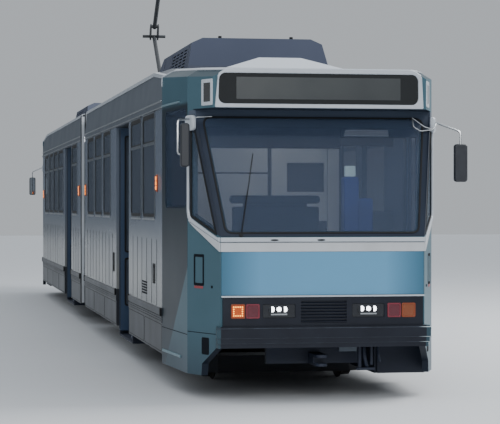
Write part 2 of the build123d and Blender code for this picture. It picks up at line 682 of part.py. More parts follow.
with BuildPart() as cab_shell:
    with BuildSketch(Plane.XY.offset(CAB_BOTTOM)):
        with BuildLine():
            Polyline(cab_plan(0, CAB_JOINT), close=True)
        make_face()
    extrude(amount=CAB_ROOF_REAR - CAB_BOTTOM)
    # The space in front of the raked screen, under the sign box, and above the sloping cab roof
    with BuildSketch(Plane.XZ.offset(HALF_WIDTH + BEYOND)):
        with BuildLine():
            Polyline(
                [
                    (FRONT, SCREEN_BOTTOM),
                    (CROWN_FRONT, SCREEN_BOTTOM),
                    (CROWN_FRONT, SCREEN_TOP),
                    (FRONT - SCREEN_SETBACK, SCREEN_TOP),
                ],
                close=True,
            )
        make_face()
        with BuildLine():
            Polyline(
                [
                    (FRONT - BOX_SETBACK, SCREEN_TOP),
                    (CROWN_FRONT, SCREEN_TOP),
                    (CROWN_FRONT, CAB_ROOF_REAR + BEYOND),
                    (FRONT - BOX_SETBACK, CAB_ROOF_REAR + BEYOND),
                ],
                close=True,
            )
        make_face()
        with BuildLine():
            Polyline(
                [
                    (CAB_JOINT - 10, CAB_ROOF_REAR),
                    (CROWN_FRONT, BOX_TOP),
                    (CROWN_FRONT, CAB_ROOF_REAR + BEYOND),
                    (CAB_JOINT - 10, CAB_ROOF_REAR + BEYOND),
                ],
                close=True,
            )
        make_face()
        with BuildLine():
            Polyline(
                [
                    (CROWN_FRONT, UNDERCUT[0][1]),
                    (FRONT - UNDERCUT[0][0], UNDERCUT[0][1]),
                    (FRONT - UNDERCUT[1][0], UNDERCUT[1][1]),
                    (FRONT - UNDERCUT[2][0], CAB_BOTTOM - BEYOND),
                    (CROWN_FRONT, CAB_BOTTOM - BEYOND),
                ],
                close=True,
            )
        make_face()
    extrude(amount=-2 * (HALF_WIDTH + BEYOND), mode=Mode.SUBTRACT)
    # The eaves: the roof's side edges slope down to the walls, parallel to the sloping crown
    with BuildSketch(EAVE_PLANE):
        Rectangle(2 * EAVE_SPAN, 2 * (HALF_WIDTH + BEYOND))
    above_eaves = extrude(amount=2 * EAVE_DROP, mode=Mode.PRIVATE)
    with BuildSketch(EAVE_PLANE):
        Polygon(*eave_outline(), align=None)
    crown = extrude(amount=2 * EAVE_DROP, taper=EAVE_TAPER, mode=Mode.PRIVATE)
    add(above_eaves - crown, mode=Mode.SUBTRACT)
    # The hollow: from below the floor up to the lined ceiling, parallel to the screen in front
    with BuildSketch(Plane.XY.offset(CAB_BOTTOM - 5)):
        with BuildLine():
            Polyline(cab_plan(WALL, CAB_JOINT - 5), close=True)
        make_face()
    extrude(amount=SCREEN_BOTTOM - CAB_BOTTOM - 60, mode=Mode.SUBTRACT)
    upper_low = SCREEN_BOTTOM - 66
    upper_high = SCREEN_TOP + 120
    rake = math.tan(SLOPE)
    with BuildSketch(Plane.XY.offset(upper_low)):
        with BuildLine():
            Polyline(cab_plan(WALL, CAB_JOINT - 5), close=True)
        make_face()
    hollow = extrude(amount=upper_high - upper_low, mode=Mode.PRIVATE)
    with BuildSketch(Plane.XZ.offset(HALF_WIDTH + BEYOND)):
        with BuildLine():
            Polyline(
                [
                    (FRONT - WALL, upper_low - 10),
                    (CROWN_FRONT, upper_low - 10),
                    (CROWN_FRONT, upper_high + 10),
                    (FRONT - WALL - 10 - rake * (upper_high - SCREEN_BOTTOM), upper_high + 10),
                    (FRONT - WALL - 10, SCREEN_BOTTOM),
                ],
                close=True,
            )
        make_face()
    in_front = extrude(amount=-2 * (HALF_WIDTH + BEYOND), mode=Mode.PRIVATE)
    add(hollow - in_front, mode=Mode.SUBTRACT)
    # Windscreen, quarter lights and driver's window, each with a rebate for its glass
    for grow, depth in ((0, PANE), (-REBATE, CUT_SCREEN)):
        with BuildSketch(SCREEN_PLANE):
            screen_sketch(grow)
        extrude(amount=-depth, mode=Mode.SUBTRACT)
        for side in (-1, 1):
            with BuildSketch(facet_plane(side)):
                quarter_sketch(side, grow)
            extrude(amount=-min(depth, CUT_WALL), mode=Mode.SUBTRACT)
        with BuildSketch(taper_plane(-1)):
            cab_window_sketch(grow)
        extrude(amount=-min(depth, CUT_WALL), mode=Mode.SUBTRACT)
    # The front doorway in the tapered left side
    with BuildSketch(taper_plane(1)):
        with Locations((-FRONT_DOOR_START - FRONT_DOOR_WIDTH / 2, (LEAF_TOP + 12) / 2)):
            Rectangle(FRONT_DOOR_WIDTH, LEAF_TOP + 12)
    extrude(amount=-CUT_WALL, mode=Mode.SUBTRACT)
save_for_both_sections(cab_shell, "cab_shell")

# Cab glass: windscreen, quarter lights and driver's side window
with BuildPart() as cab_glass:
    with BuildSketch(SCREEN_PLANE):
        screen_sketch(0)
    extrude(amount=-PANE)
    for side in (-1, 1):
        with BuildSketch(facet_plane(side)):
            quarter_sketch(side, 0)
        extrude(amount=-PANE)
    with BuildSketch(taper_plane(-1)):
        cab_window_sketch(0)
    extrude(amount=-PANE)
save_for_both_sections(cab_glass, "cab_glass")

# Bumper: a stepped buffer beam that wraps round the corners, and above it the lamp panel
BUMPER_RETURN = 85
# Bands of the bumper: lower edge, upper edge, how far back each stands from the foremost
BUMPER_BANDS = [
    (BUMPER_BOTTOM, BUMPER_BOTTOM + 48, 26),
    (BUMPER_BOTTOM + 48, BUMPER_BOTTOM + 98, 12),
    (BUMPER_BOTTOM + 98, LAMP_BOTTOM - 12, 0),
    (LAMP_BOTTOM - 12, LAMP_BOTTOM, 10),
]
LAMP_PANEL_HALF = 988
LAMP_PANEL_THICK = 24
POCKET_DEPTH = 16
LAMP_LOW = RAIL + 784
LAMP_HIGH = RAIL + 918
# Lamp pockets on each side of the middle: name, inner edge, outer edge
LAMP_POCKETS = [("headlight", 280, 600), ("red", 635, 757), ("amber", 775, 907)]
GRILLE_HALF = 225
SLATS = 7
SLAT_PITCH = 30


def bumper_plan(reach):
    """One band of the bumper: across the nose, then tapering out along both corner facets."""
    corner = NOSE_HALF + reach * math.tan((math.pi / 2 - CORNER_ANGLE) / 2)
    tip_x = FRONT - BUMPER_RETURN * math.cos(CORNER_ANGLE)
    tip_y = NOSE_HALF + BUMPER_RETURN * math.sin(CORNER_ANGLE)
    left = [(FRONT + reach, corner), (tip_x, tip_y), (FRONT, NOSE_HALF)]
    return [(x, -y) for x, y in left[::-1]] + left


with BuildPart() as bumper:
    for low, high, back in BUMPER_BANDS:
        with BuildSketch(Plane.XY.offset(low)):
            Polygon(*bumper_plan(HALF_LENGTH - FRONT - back), align=None)
        extrude(amount=high - low)
    with BuildSketch(Plane.YZ.offset(FRONT)):
        with Locations((0, (LAMP_BOTTOM + PANEL_BOTTOM) / 2)):
            Rectangle(2 * LAMP_PANEL_HALF, PANEL_BOTTOM - LAMP_BOTTOM)
    extrude(amount=LAMP_PANEL_THICK)
    with BuildSketch(Plane.YZ.offset(FRONT + LAMP_PANEL_THICK)):
        for side in (-1, 1):
            for name, inner_edge, outer_edge in LAMP_POCKETS:
                with Locations((side * (inner_edge + outer_edge) / 2, (LAMP_LOW + LAMP_HIGH) / 2)):
                    RectangleRounded(outer_edge - inner_edge, LAMP_HIGH - LAMP_LOW, 12)
        with Locations((0, (LAMP_LOW + LAMP_HIGH) / 2 - 10)):
            Rectangle(2 * GRILLE_HALF, LAMP_HIGH - LAMP_LOW + 80)
    extrude(amount=-POCKET_DEPTH, mode=Mode.SUBTRACT)
    for row in range(SLATS):
        slat_low = LAMP_LOW - 46 + SLAT_PITCH * row
        with BuildSketch(Plane.XZ.offset(GRILLE_HALF)):
            with BuildLine():
                Polyline(
                    [
                        (FRONT + LAMP_PANEL_THICK - POCKET_DEPTH, slat_low + 10),
                        (FRONT + LAMP_PANEL_THICK, slat_low),
                        (FRONT + LAMP_PANEL_THICK, slat_low + 8),
                        (FRONT + LAMP_PANEL_THICK - POCKET_DEPTH, slat_low + 18),
                    ],
                    close=True,
                )
            make_face()
        extrude(amount=-2 * GRILLE_HALF)
save_for_both_sections(bumper, "bumper")

# Lamps: rectangular lenses in their pockets, and three round lights in each headlight
LENS_GAP = 4
LENS_PLATE = 8
LENS_PROUD = 6
ROUND_LIGHTS = 3
ROUND_PITCH = 72
ROUND_RADIUS = 32
ROUND_DEEP = 14
with BuildPart() as lamps:
    pocket_floor = FRONT + LAMP_PANEL_THICK - POCKET_DEPTH
    lamp_middle = (LAMP_LOW + LAMP_HIGH) / 2
    for side in (-1, 1):
        for name, inner_edge, outer_edge in LAMP_POCKETS:
            middle = side * (inner_edge + outer_edge) / 2
            with BuildSketch(Plane.YZ.offset(pocket_floor)):
                with Locations((middle, lamp_middle)):
                    width = outer_edge - inner_edge - 2 * LENS_GAP
                    RectangleRounded(width, LAMP_HIGH - LAMP_LOW - 2 * LENS_GAP, 10)
            extrude(amount=LENS_PLATE if name == "headlight" else POCKET_DEPTH + LENS_PROUD)
            if name == "headlight":
                with BuildSketch(Plane.YZ.offset(pocket_floor + LENS_PLATE)):
                    with Locations((middle, lamp_middle)):
                        with GridLocations(ROUND_PITCH, 1, ROUND_LIGHTS, 1):
                            Circle(ROUND_RADIUS)
                extrude(amount=ROUND_DEEP)
save_for_both_sections(lamps, "lamps")

# Roof air conditioner: louvred case with sloped ends, standing on the roof's flat top
POD_REAR = 5053
POD_FRONT = 8221
POD_TOP = RAIL + 3800
POD_FOOT_HALF = 840
POD_TOP_HALF = 765
POD_SHOULDER = POD_TOP - 60
# Louvres in each side of the case: middle along the tram, middle up the side, pitches, counts
LOUVRE_MIDDLE = (7225, 185)
LOUVRE_PITCH = (330, 40)
LOUVRE_COUNT = (4, 7)
LOUVRE_SIZE = (260, 20)
LOUVRE_DEPTH = 12


def pod_side(side):
    """A leaning side of the case: local y runs up it from the roof, local x is -side times X."""
    lean = math.atan2(POD_FOOT_HALF - POD_TOP_HALF, POD_SHOULDER - ROOF_TOP)
    return Plane(
        origin=(0, side * POD_FOOT_HALF, ROOF_TOP),
        x_dir=(-side, 0, 0),
        z_dir=(0, side * math.cos(lean), math.sin(lean)),
    )


with BuildPart() as air_con:
    with BuildSketch(Plane.YZ.offset(POD_REAR)):
        with BuildLine():
            Polyline(
                [
                    (-POD_FOOT_HALF, ROOF_TOP),
                    (POD_FOOT_HALF, ROOF_TOP),
                    (POD_TOP_HALF, POD_SHOULDER),
                    (POD_TOP_HALF - 130, POD_TOP),
                    (-POD_TOP_HALF + 130, POD_TOP),
                    (-POD_TOP_HALF, POD_SHOULDER),
                ],
                close=True,
            )
        make_face()
    extrude(amount=POD_FRONT - POD_REAR)
    with BuildSketch(Plane.XZ.offset(POD_FOOT_HALF + 10)):
        with BuildLine():
            Polyline(
                [
                    (POD_REAR - 10, ROOF_TOP + 40),
                    (POD_REAR + 700, POD_TOP + 10),
                    (POD_REAR - 10, POD_TOP + 10),
                ],
                close=True,
            )
        make_face()
        with BuildLine():
            Polyline(
                [
                    (POD_FRONT + 10, ROOF_TOP + 60),
                    (POD_FRONT + 10, POD_TOP + 10),
                    (POD_FRONT - 130, POD_TOP + 10),
                ],
                close=True,
            )
        make_face()
    extrude(amount=-2 * (POD_FOOT_HALF + 10), mode=Mode.SUBTRACT)
    for side in (-1, 1):
        with BuildSketch(pod_side(side)):
            with Locations((-side * LOUVRE_MIDDLE[0], LOUVRE_MIDDLE[1])):
                with GridLocations(*LOUVRE_PITCH, *LOUVRE_COUNT):
                    RectangleRounded(*LOUVRE_SIZE, 8)
        extrude(amount=-LOUVRE_DEPTH, mode=Mode.SUBTRACT)
save_for_both_sections(air_con, "air_con")

# Mirrors: flat heads on bent tube arms from the windscreen's top corners. The left one, on the
# door side, hangs well out from its arm, and the right one sits close in.
MIRROR_X = 11425
MIRROR_DEPTH = 70
ARM_RADIUS = 11
ARM_BEND = 24
# Mirror heads: side, inner edge, outer edge, lower edge, upper edge
MIRROR_HEADS = [
    (1, 1400, 1532, RAIL + 2100, RAIL + 2478),
    (-1, 1262, 1352, RAIL + 2240, RAIL + 2666),
]
# Mirror arms: height of the root on the corner facet, then the points that each bends at
ARM_ROOT_BACK = 520
ARM_STUB = 45
MIRROR_ARMS = {
    1: (RAIL + 2700, [(MIRROR_X, 1466, RAIL + 2600), (MIRROR_X, 1466, RAIL + 2440)]),
    -1: (
        RAIL + 2712,
        [
            (MIRROR_X, 1376, RAIL + 2694),
            (MIRROR_X, 1376, RAIL + 2362),
            (MIRROR_X, 1330, RAIL + 2362),
        ],
    ),
}


def arm_root(z, out):
    """A place at the mirror arm's root, a given way out from the corner facet."""
    x = FRONT - ARM_ROOT_BACK * math.cos(CORNER_ANGLE) + out * math.sin(CORNER_ANGLE)
    y = NOSE_HALF + ARM_ROOT_BACK * math.sin(CORNER_ANGLE) + out * math.cos(CORNER_ANGLE)
    return (x, y, z)


with BuildPart() as mirrors:
    for side, inner_edge, outer_edge, low, high in MIRROR_HEADS:
        with BuildSketch(Plane.XY.offset(low)):
            with Locations((MIRROR_X, side * (inner_edge + outer_edge) / 2)):
                RectangleRounded(MIRROR_DEPTH, outer_edge - inner_edge, 25)
        extrude(amount=high - low)
        root_z, bends = MIRROR_ARMS[side]
        route = [arm_root(root_z, 0), arm_root(root_z, ARM_STUB)] + bends
        with BuildLine() as arm:
            FilletPolyline(*[(x, side * y, z) for x, y, z in route], radius=ARM_BEND)
        with BuildSketch(arm.line ^ 0):
            Circle(ARM_RADIUS)
        sweep(path=arm.line)
save_for_both_sections(mirrors, "mirrors")


# Bogie frames: gooseneck side frames with axle boxes, box transoms, brakes and motor cases
FRAME_INNER = 860
FRAME_OUTER = 955
BOX_OUTER = 1010
BOX_BORE = 58
TRANSOM_HALF = 400
FRAME_TOP = RAIL + 560
FRAME_END = 1130
PIVOT_BORE = 106
TRANSOM_BOTTOM = RAIL + 385
TRANSOM_DEPTH = 115
CENTRE_PLATE = 250
CENTRE_PLATE_TOP = RAIL + 565
BRAKE_BOTTOM = RAIL + 12
BRAKE_TOP = RAIL + 112
BRAKE_Y = 753
BRAKE_LENGTH = 880
HANGER_Y = 815
MOTOR_X = 600
MOTOR_Z = RAIL + 395
MOTOR_HALF = 350
GUARD_X = 1400
GUARD_BOTTOM = RAIL + 85
GUARD_TOP = RAIL + 260
GUARD_HALF = 895
GUARD_ARM_Y = 865
GUARD_ARM = 30
GUARD_SWEEP = 180
AXLE_BOX = (220, 196)
BRAKE_WIDTH = 90
HANGER_X = 340
HANGER_SIZE = (45, 110)
HANGER_HIGH = 340
TRANSOM_X = 290
TRANSOM_WIDTH = 220
MIDDLE_WIDTH = 640
MOTOR_SIZE = (420, 300)
MOTOR_CORNER = 90
TURNTABLE = 30
SIDE_FRAME = [
    (-1130, 430),
    (-1010, 430),
    (-1010, 235),
    (-790, 235),
    (-790, 430),
    (-700, 430),
    (-560, 330),
    (560, 330),
    (700, 430),
    (790, 430),
    (790, 235),
    (1010, 235),
    (1010, 430),
    (1130, 430),
    (1130, 560),
    (720, 560),
    (560, 480),
    (-560, 480),
    (-720, 560),
    (-1130, 560),
]


def make_bogie_frame(is_motored):
    with BuildPart() as frame:
        for side in (-1, 1):
            inner = side * FRAME_INNER
            with BuildSketch(Plane.XZ.offset(-inner)):
                Polygon(*[(x, RAIL + z) for x, z in SIDE_FRAME], align=None)
            extrude(amount=-side * (FRAME_OUTER - FRAME_INNER))
            with BuildSketch(Plane.XZ.offset(-inner)):
                for axle in (-WHEELBASE / 2, WHEELBASE / 2):
                    with Locations((axle, AXLE_HEIGHT)):
                        Rectangle(*AXLE_BOX)
            extrude(amount=-side * (BOX_OUTER - FRAME_INNER))
            with BuildSketch(Plane.XZ.offset(-inner)):
                for axle in (-WHEELBASE / 2, WHEELBASE / 2):
                    with Locations((axle, AXLE_HEIGHT)):
                        Circle(BOX_BORE)
            extrude(amount=-side * (JOURNAL_REACH + 5 - FRAME_INNER), mode=Mode.SUBTRACT)
            # Magnetic track brake between the wheels, hung from the side frame
            with BuildSketch(Plane.XY.offset(BRAKE_BOTTOM)):
                with Locations((0, side * BRAKE_Y)):
                    RectangleRounded(BRAKE_LENGTH, BRAKE_WIDTH, 20)
            extrude(amount=BRAKE_TOP - BRAKE_BOTTOM)
            with BuildSketch(Plane.XY.offset(BRAKE_TOP - 32)):
                with Locations((-HANGER_X, side * HANGER_Y), (HANGER_X, side * HANGER_Y)):
                    Rectangle(*HANGER_SIZE)
            extrude(amount=HANGER_HIGH)
        with BuildSketch(Plane.XY.offset(TRANSOM_BOTTOM)):
            with Locations((-TRANSOM_X, 0), (TRANSOM_X, 0)):
                Rectangle(TRANSOM_WIDTH, 2 * FRAME_INNER + 40)
            Rectangle(2 * TRANSOM_HALF, MIDDLE_WIDTH)
        extrude(amount=TRANSOM_DEPTH)
        with BuildSketch(Plane.XY.offset(TRANSOM_BOTTOM)):
            Circle(CENTRE_PLATE)
        extrude(amount=CENTRE_PLATE_TOP - TRANSOM_BOTTOM)
        if is_motored:
            for end in (-1, 1):
                with BuildSketch(Plane.XZ.offset(MOTOR_HALF)):
                    with Locations((end * MOTOR_X, MOTOR_Z)):
                        RectangleRounded(*MOTOR_SIZE, MOTOR_CORNER)
                extrude(amount=-2 * MOTOR_HALF)
            with BuildSketch(Plane.XY.offset(TRANSOM_BOTTOM - 200)):
                Circle(PIVOT_BORE)
            extrude(amount=500, mode=Mode.SUBTRACT)
            # Lifeguard: a board low across the track, ahead of the leading wheels
            with BuildSketch(Plane.XY.offset(GUARD_BOTTOM)):
                Polygon(
                    (GUARD_X + 30, -GUARD_HALF + GUARD_SWEEP),
                    (GUARD_X + 30, GUARD_HALF - GUARD_SWEEP),
                    (GUARD_X - 60, GUARD_HALF),
                    (GUARD_X - 90, GUARD_HALF),
                    (GUARD_X, GUARD_HALF - GUARD_SWEEP),
                    (GUARD_X, -GUARD_HALF + GUARD_SWEEP),
                    (GUARD_X - 90, -GUARD_HALF),
                    (GUARD_X - 60, -GUARD_HALF),
                    align=None,
                )
            extrude(amount=GUARD_TOP - GUARD_BOTTOM)
            for side in (-1, 1):
                with BuildSketch(Plane.XZ.offset(-side * GUARD_ARM_Y)):
                    Polygon(
                        (GUARD_X - 65, GUARD_BOTTOM + 40),
                        (GUARD_X - 65, GUARD_TOP - 10),
                        (FRAME_END - LAP, FRAME_TOP - 20),
                        (FRAME_END - LAP, FRAME_TOP - 110),
                        (GUARD_X - 130, GUARD_BOTTOM + 40),
                        align=None,
                    )
                extrude(amount=-side * GUARD_ARM)
        else:
            with BuildSketch(Plane.XY.offset(TRANSOM_BOTTOM)):
                Circle(COLUMN_RADIUS)
            extrude(amount=FLOOR - TURNTABLE - TRANSOM_BOTTOM)
    return frame.part


# Wheelset half profile: distance from the middle and radius
WHEELSET = [
    (0, 0),
    (0, 75),
    (672, 75),
    (672, 112),
    (738, 122),
    (738, 268),
    (690, 276),
    (690, 350),
    (696, 358),
    (706, 358),
    (714, 344),
    (724, 333),
    (815, 328),
    (815, 272),
    (768, 266),
    (768, 124),
    (822, 112),
    (822, 75),
    (842, 75),
    (850, 55),
    (JOURNAL_REACH, 55),
    (JOURNAL_REACH, 0),
]


def make_wheelset():
    with BuildPart() as wheelset:
        with BuildSketch(Plane(origin=(0, 0, AXLE_HEIGHT), x_dir=(0, 1, 0), z_dir=(1, 0, 0))):
            Polygon(*WHEELSET, align=None)
            mirror(about=Plane.YZ)
        revolve(axis=Axis((0, 0, AXLE_HEIGHT), (0, 1, 0)))
    return wheelset.part


motor_frame = make_bogie_frame(True)
plain_frame = make_bogie_frame(False)
wheelset = make_wheelset()
# Bogies: name, centre, frame, turn about the pivot
for name, centre, frame, turn in (
    ("front", BOGIE_CENTRE, motor_frame, 0),
    ("centre", 0, plain_frame, 0),
    ("rear", -BOGIE_CENTRE, motor_frame, 180),
):
    save(Pos(centre, 0, 0) * Rot(0, 0, turn) * frame, f"{name}_bogie_frame")
    for end_name, end in (("fore", 1), ("aft", -1)):
        place = Pos(centre + end * WHEELBASE / 2, 0, 0)
        save(place * wheelset, f"{name}_bogie_{end_name}_wheelset")

# Articulation drum: turntable floor, two curved side panels, roof band and a diamond hood
DRUM_LOW = RAIL + 640
DRUM_HIGH = CEILING - 20
HOOD_TOP = RAIL + 3318
HOOD_HALF_MIDDLE = 350
HOOD_HALF_SIDE = 55
with BuildPart() as drum:
    with BuildSketch(Plane.XY.offset(DRUM_LOW)):
        for side in (-1, 1):
            start = side * 90 - DRUM_SPAN
            with BuildLine():
                outer = CenterArc((0, 0), DRUM_RADIUS, start, 2 * DRUM_SPAN)
                inner = CenterArc((0, 0), DRUM_RADIUS - DRUM_SKIN, start, 2 * DRUM_SPAN)
                Line(outer @ 0, inner @ 0)
                Line(outer @ 1, inner @ 1)
            make_face()
    extrude(amount=DRUM_HIGH - DRUM_LOW)
    with BuildSketch(Plane.XY.offset(FLOOR - TURNTABLE)):
        Circle(DRUM_RADIUS)
    extrude(amount=TURNTABLE)
    with BuildSketch(Plane.XY.offset(DRUM_HIGH - 30)):
        Circle(DRUM_RADIUS)
        band_width = 2 * DRUM_RADIUS * math.sin(math.radians(DRUM_SPAN))
        Rectangle(band_width, 2 * DRUM_RADIUS, mode=Mode.INTERSECT)
    extrude(amount=30)
    with BuildSketch(Plane.XY.offset(DRUM_HIGH)):
        Polygon(
            (HOOD_HALF_MIDDLE, 0),
            (HOOD_HALF_SIDE, DRUM_RADIUS - 5),
            (-HOOD_HALF_SIDE, DRUM_RADIUS - 5),
            (-HOOD_HALF_MIDDLE, 0),
            (-HOOD_HALF_SIDE, 5 - DRUM_RADIUS),
            (HOOD_HALF_SIDE, 5 - DRUM_RADIUS),
            align=None,
        )
    extrude(amount=HOOD_TOP - DRUM_HIGH)
save(drum.part, "gangway_drum")

# Pantograph on section B: a single arm in two equal halves, raised, its knuckle towards the rear
ARM_LENGTH = 1550
ARM_ANGLE = math.radians(40)
PAN_X = -500
PAN_Z = RAIL + 3700
KNUCKLE_X = PAN_X - ARM_LENGTH * math.cos(ARM_ANGLE)
KNUCKLE_Z = PAN_Z + ARM_LENGTH * math.sin(ARM_ANGLE)
HEAD_Z = PAN_Z + 2 * ARM_LENGTH * math.sin(ARM_ANGLE)
LOWER_TUBE = 32
UPPER_TUBE = 34
PIVOT_PIN = 24
PIN_CLEAR = 3
UPPER_OFFSET = 72
FRAME_RAIL_Y = 380
BASE_MIDDLE = -1100
BASE_LENGTH = 1340
BASE_RAIL = 60
BASE_DEEP = 50
BASE_DROP = 90
CROSS_RAILS = (-500, -1100, -1700)
INSULATOR_X = (-620, -1650)
INSULATOR_RADIUS = 50
CHEEK_Y = 300
CHEEK_THICK = 25
with BuildPart() as pantograph_base:
    with BuildSketch(Plane.XY.offset(PAN_Z - BASE_DROP)):
        with Locations((BASE_MIDDLE, FRAME_RAIL_Y), (BASE_MIDDLE, -FRAME_RAIL_Y)):
            Rectangle(BASE_LENGTH, BASE_RAIL)
        with Locations(*[(x, 0) for x in CROSS_RAILS]):
            Rectangle(BASE_RAIL, 2 * FRAME_RAIL_Y)
    extrude(amount=BASE_DEEP)
    with BuildSketch(Plane.XY.offset(ROOF_TOP)):
        for x in INSULATOR_X:
            with Locations((x, FRAME_RAIL_Y), (x, -FRAME_RAIL_Y)):
                Circle(INSULATOR_RADIUS)
    extrude(amount=PAN_Z - BASE_DROP - ROOF_TOP)
    for side in (-1, 1):
        with BuildSketch(Plane.XZ.offset(-side * CHEEK_Y)):
            with Locations((PAN_X, PAN_Z - 12)):
                Rectangle(90, 110)
            with Locations((PAN_X, PAN_Z)):
                Circle(PIVOT_PIN + PIN_CLEAR, mode=Mode.SUBTRACT)
        extrude(amount=-side * CHEEK_THICK)
save(pantograph_base.part, "pantograph_base")

with BuildPart() as pantograph_lower_arm:
    with BuildSketch(Plane.XZ.offset(-335)):
        with Locations((PAN_X, PAN_Z)):
            Circle(PIVOT_PIN)
    extrude(amount=670)
    with BuildSketch(Plane.XZ.offset(-190)):
        with Locations((KNUCKLE_X, KNUCKLE_Z)):
            Circle(PIVOT_PIN)
    extrude(amount=380)
    with BuildSketch(
        Plane(origin=(PAN_X, 0, PAN_Z), z_dir=(-math.cos(ARM_ANGLE), 0, math.sin(ARM_ANGLE)))
    ):
        Circle(LOWER_TUBE)
    extrude(amount=ARM_LENGTH)
save(pantograph_lower_arm.part, "pantograph_lower_arm")

# The upper arm's tube stands off the line between its pins, so that the arms fold flat
UPPER_DIRECTION = (math.cos(ARM_ANGLE), math.sin(ARM_ANGLE))
UPPER_NORMAL = (-math.sin(ARM_ANGLE), math.cos(ARM_ANGLE))
FORK_INNER = 50
FORK_OUTER = 72
TUBE_INSET = 130
SPREADER = 160
SPREADER_RADIUS = 26


def on_upper_arm(along, off):
    """X and Z of a place on the upper arm: along it from the knuckle, and off its pin line."""
    return (
        KNUCKLE_X + along * UPPER_DIRECTION[0] + off * UPPER_NORMAL[0],
        KNUCKLE_Z + along * UPPER_DIRECTION[1] + off * UPPER_NORMAL[1],
    )


with BuildPart() as pantograph_upper_arm:
    for side in (-1, 1):
        for pin, reach in ((0, 1), (ARM_LENGTH, -1)):
            with BuildSketch(Plane.XZ.offset(-side * FORK_INNER)):
                Polygon(
                    on_upper_arm(pin - reach * 45, -45),
                    on_upper_arm(pin + reach * 60, -45),
                    on_upper_arm(pin + reach * 190, UPPER_OFFSET - 25),
                    on_upper_arm(pin + reach * 190, UPPER_OFFSET + 30),
                    on_upper_arm(pin + reach * 60, UPPER_OFFSET + 30),
                    on_upper_arm(pin - reach * 45, 45),
                    align=None,
                )
                with Locations(on_upper_arm(pin, 0)):
                    Circle(PIVOT_PIN + PIN_CLEAR, mode=Mode.SUBTRACT)
            extrude(amount=-side * (FORK_OUTER - FORK_INNER))
    tube_start = on_upper_arm(TUBE_INSET, UPPER_OFFSET)
    with BuildSketch(
        Plane(
            origin=(tube_start[0], 0, tube_start[1]),
            z_dir=(UPPER_DIRECTION[0], 0, UPPER_DIRECTION[1]),
        )
    ):
        Circle(UPPER_TUBE)
    extrude(amount=ARM_LENGTH - 2 * TUBE_INSET)
    for along in (SPREADER, ARM_LENGTH - SPREADER):
        with BuildSketch(Plane.XZ.offset(-FORK_OUTER)):
            with Locations(on_upper_arm(along, UPPER_OFFSET)):
                Circle(SPREADER_RADIUS)
        extrude(amount=2 * FORK_OUTER)
save(pantograph_upper_arm.part, "pantograph_upper_arm")

# Collector head: a pin in the upper arm's fork, two contact strips and their down-turned horns
STRIP_HALF = 520
STRIP_TOP = HEAD_Z + 140
HORN_DROP = 190
HORN_REACH = 260
HORN_BEND = 120
STRIP_SIZE = 30
STRIP_X = 170
YOKE_Y = 110
YOKE_THICK = 25
with BuildPart() as pantograph_head:
    with BuildSketch(Plane.XZ.offset(-190)):
        with Locations((PAN_X, HEAD_Z)):
            Circle(PIVOT_PIN)
    extrude(amount=380)
    for side in (-1, 1):
        with BuildSketch(Plane.XZ.offset(-side * YOKE_Y)):
            Polygon(
                (PAN_X - 40, HEAD_Z - 30),
                (PAN_X + 40, HEAD_Z - 30),
                (PAN_X + 190, STRIP_TOP - 25),
                (PAN_X - 190, STRIP_TOP - 25),
                align=None,
            )
        extrude(amount=-side * YOKE_THICK)
        strip_x = PAN_X + side * STRIP_X
        with BuildLine(Plane.YZ.offset(strip_x)) as strip_line:
            FilletPolyline(
                (-STRIP_HALF - HORN_REACH, STRIP_TOP - 20 - HORN_DROP),
                (-STRIP_HALF, STRIP_TOP - 20),
                (STRIP_HALF, STRIP_TOP - 20),
                (STRIP_HALF + HORN_REACH, STRIP_TOP - 20 - HORN_DROP),
                radius=HORN_BEND,
            )
        with BuildSketch(strip_line.line ^ 0):
            Rectangle(STRIP_SIZE, STRIP_SIZE)
        sweep(path=strip_line.line)
save(pantograph_head.part, "pantograph_head")

# Saloon fittings: pairs of seats on plinths, and grab poles beside the doorways
SEAT_OUTER = HALF_WIDTH - WALL - 10
SEAT_INNER = 405
SEAT_PROFILE = [
    (90, 0),
    (90, 360),
    (0, 385),
    (10, 445),
    (400, 430),
    (450, 900),
    (510, 905),
    (470, 380),
    (170, 360),
    (170, 0),
]
# Seat fronts: side, first, last, how many
SEAT_ROWS = [(-1, 1560, 4200, 4), (-1, 7150, 8850, 3), (1, 4150, 9000, 6), (1, 1560, 1560, 1)]
POLE_RADIUS = 17
POLE_BESIDE = DOOR_WIDTH / 2 + 40
POLE_Y = 350
# Grab poles: side, place along the tram
POLES = [
    (-1, RIGHT_DOOR - POLE_BESIDE),
    (-1, RIGHT_DOOR + POLE_BESIDE),
    (1, LEFT_DOOR - POLE_BESIDE),
    (1, LEFT_DOOR + POLE_BESIDE),
]
with BuildPart() as seats:
    for side, first, last, count in SEAT_ROWS:
        for index in range(count):
            x = first + (last - first) * index / max(count - 1, 1)
            with BuildSketch(Plane.XZ.offset(-side * SEAT_INNER)):
                Polygon(*[(x + dx, FLOOR + dz) for dx, dz in SEAT_PROFILE], align=None)
            extrude(amount=-side * (SEAT_OUTER - SEAT_INNER))
    with BuildSketch(Plane.XY.offset(FLOOR)):
        for side, x in POLES:
            with Locations((x, side * POLE_Y)):
                Circle(POLE_RADIUS)
    extrude(amount=CEILING - FLOOR)
save_for_both_sections(seats, "seats_and_poles")

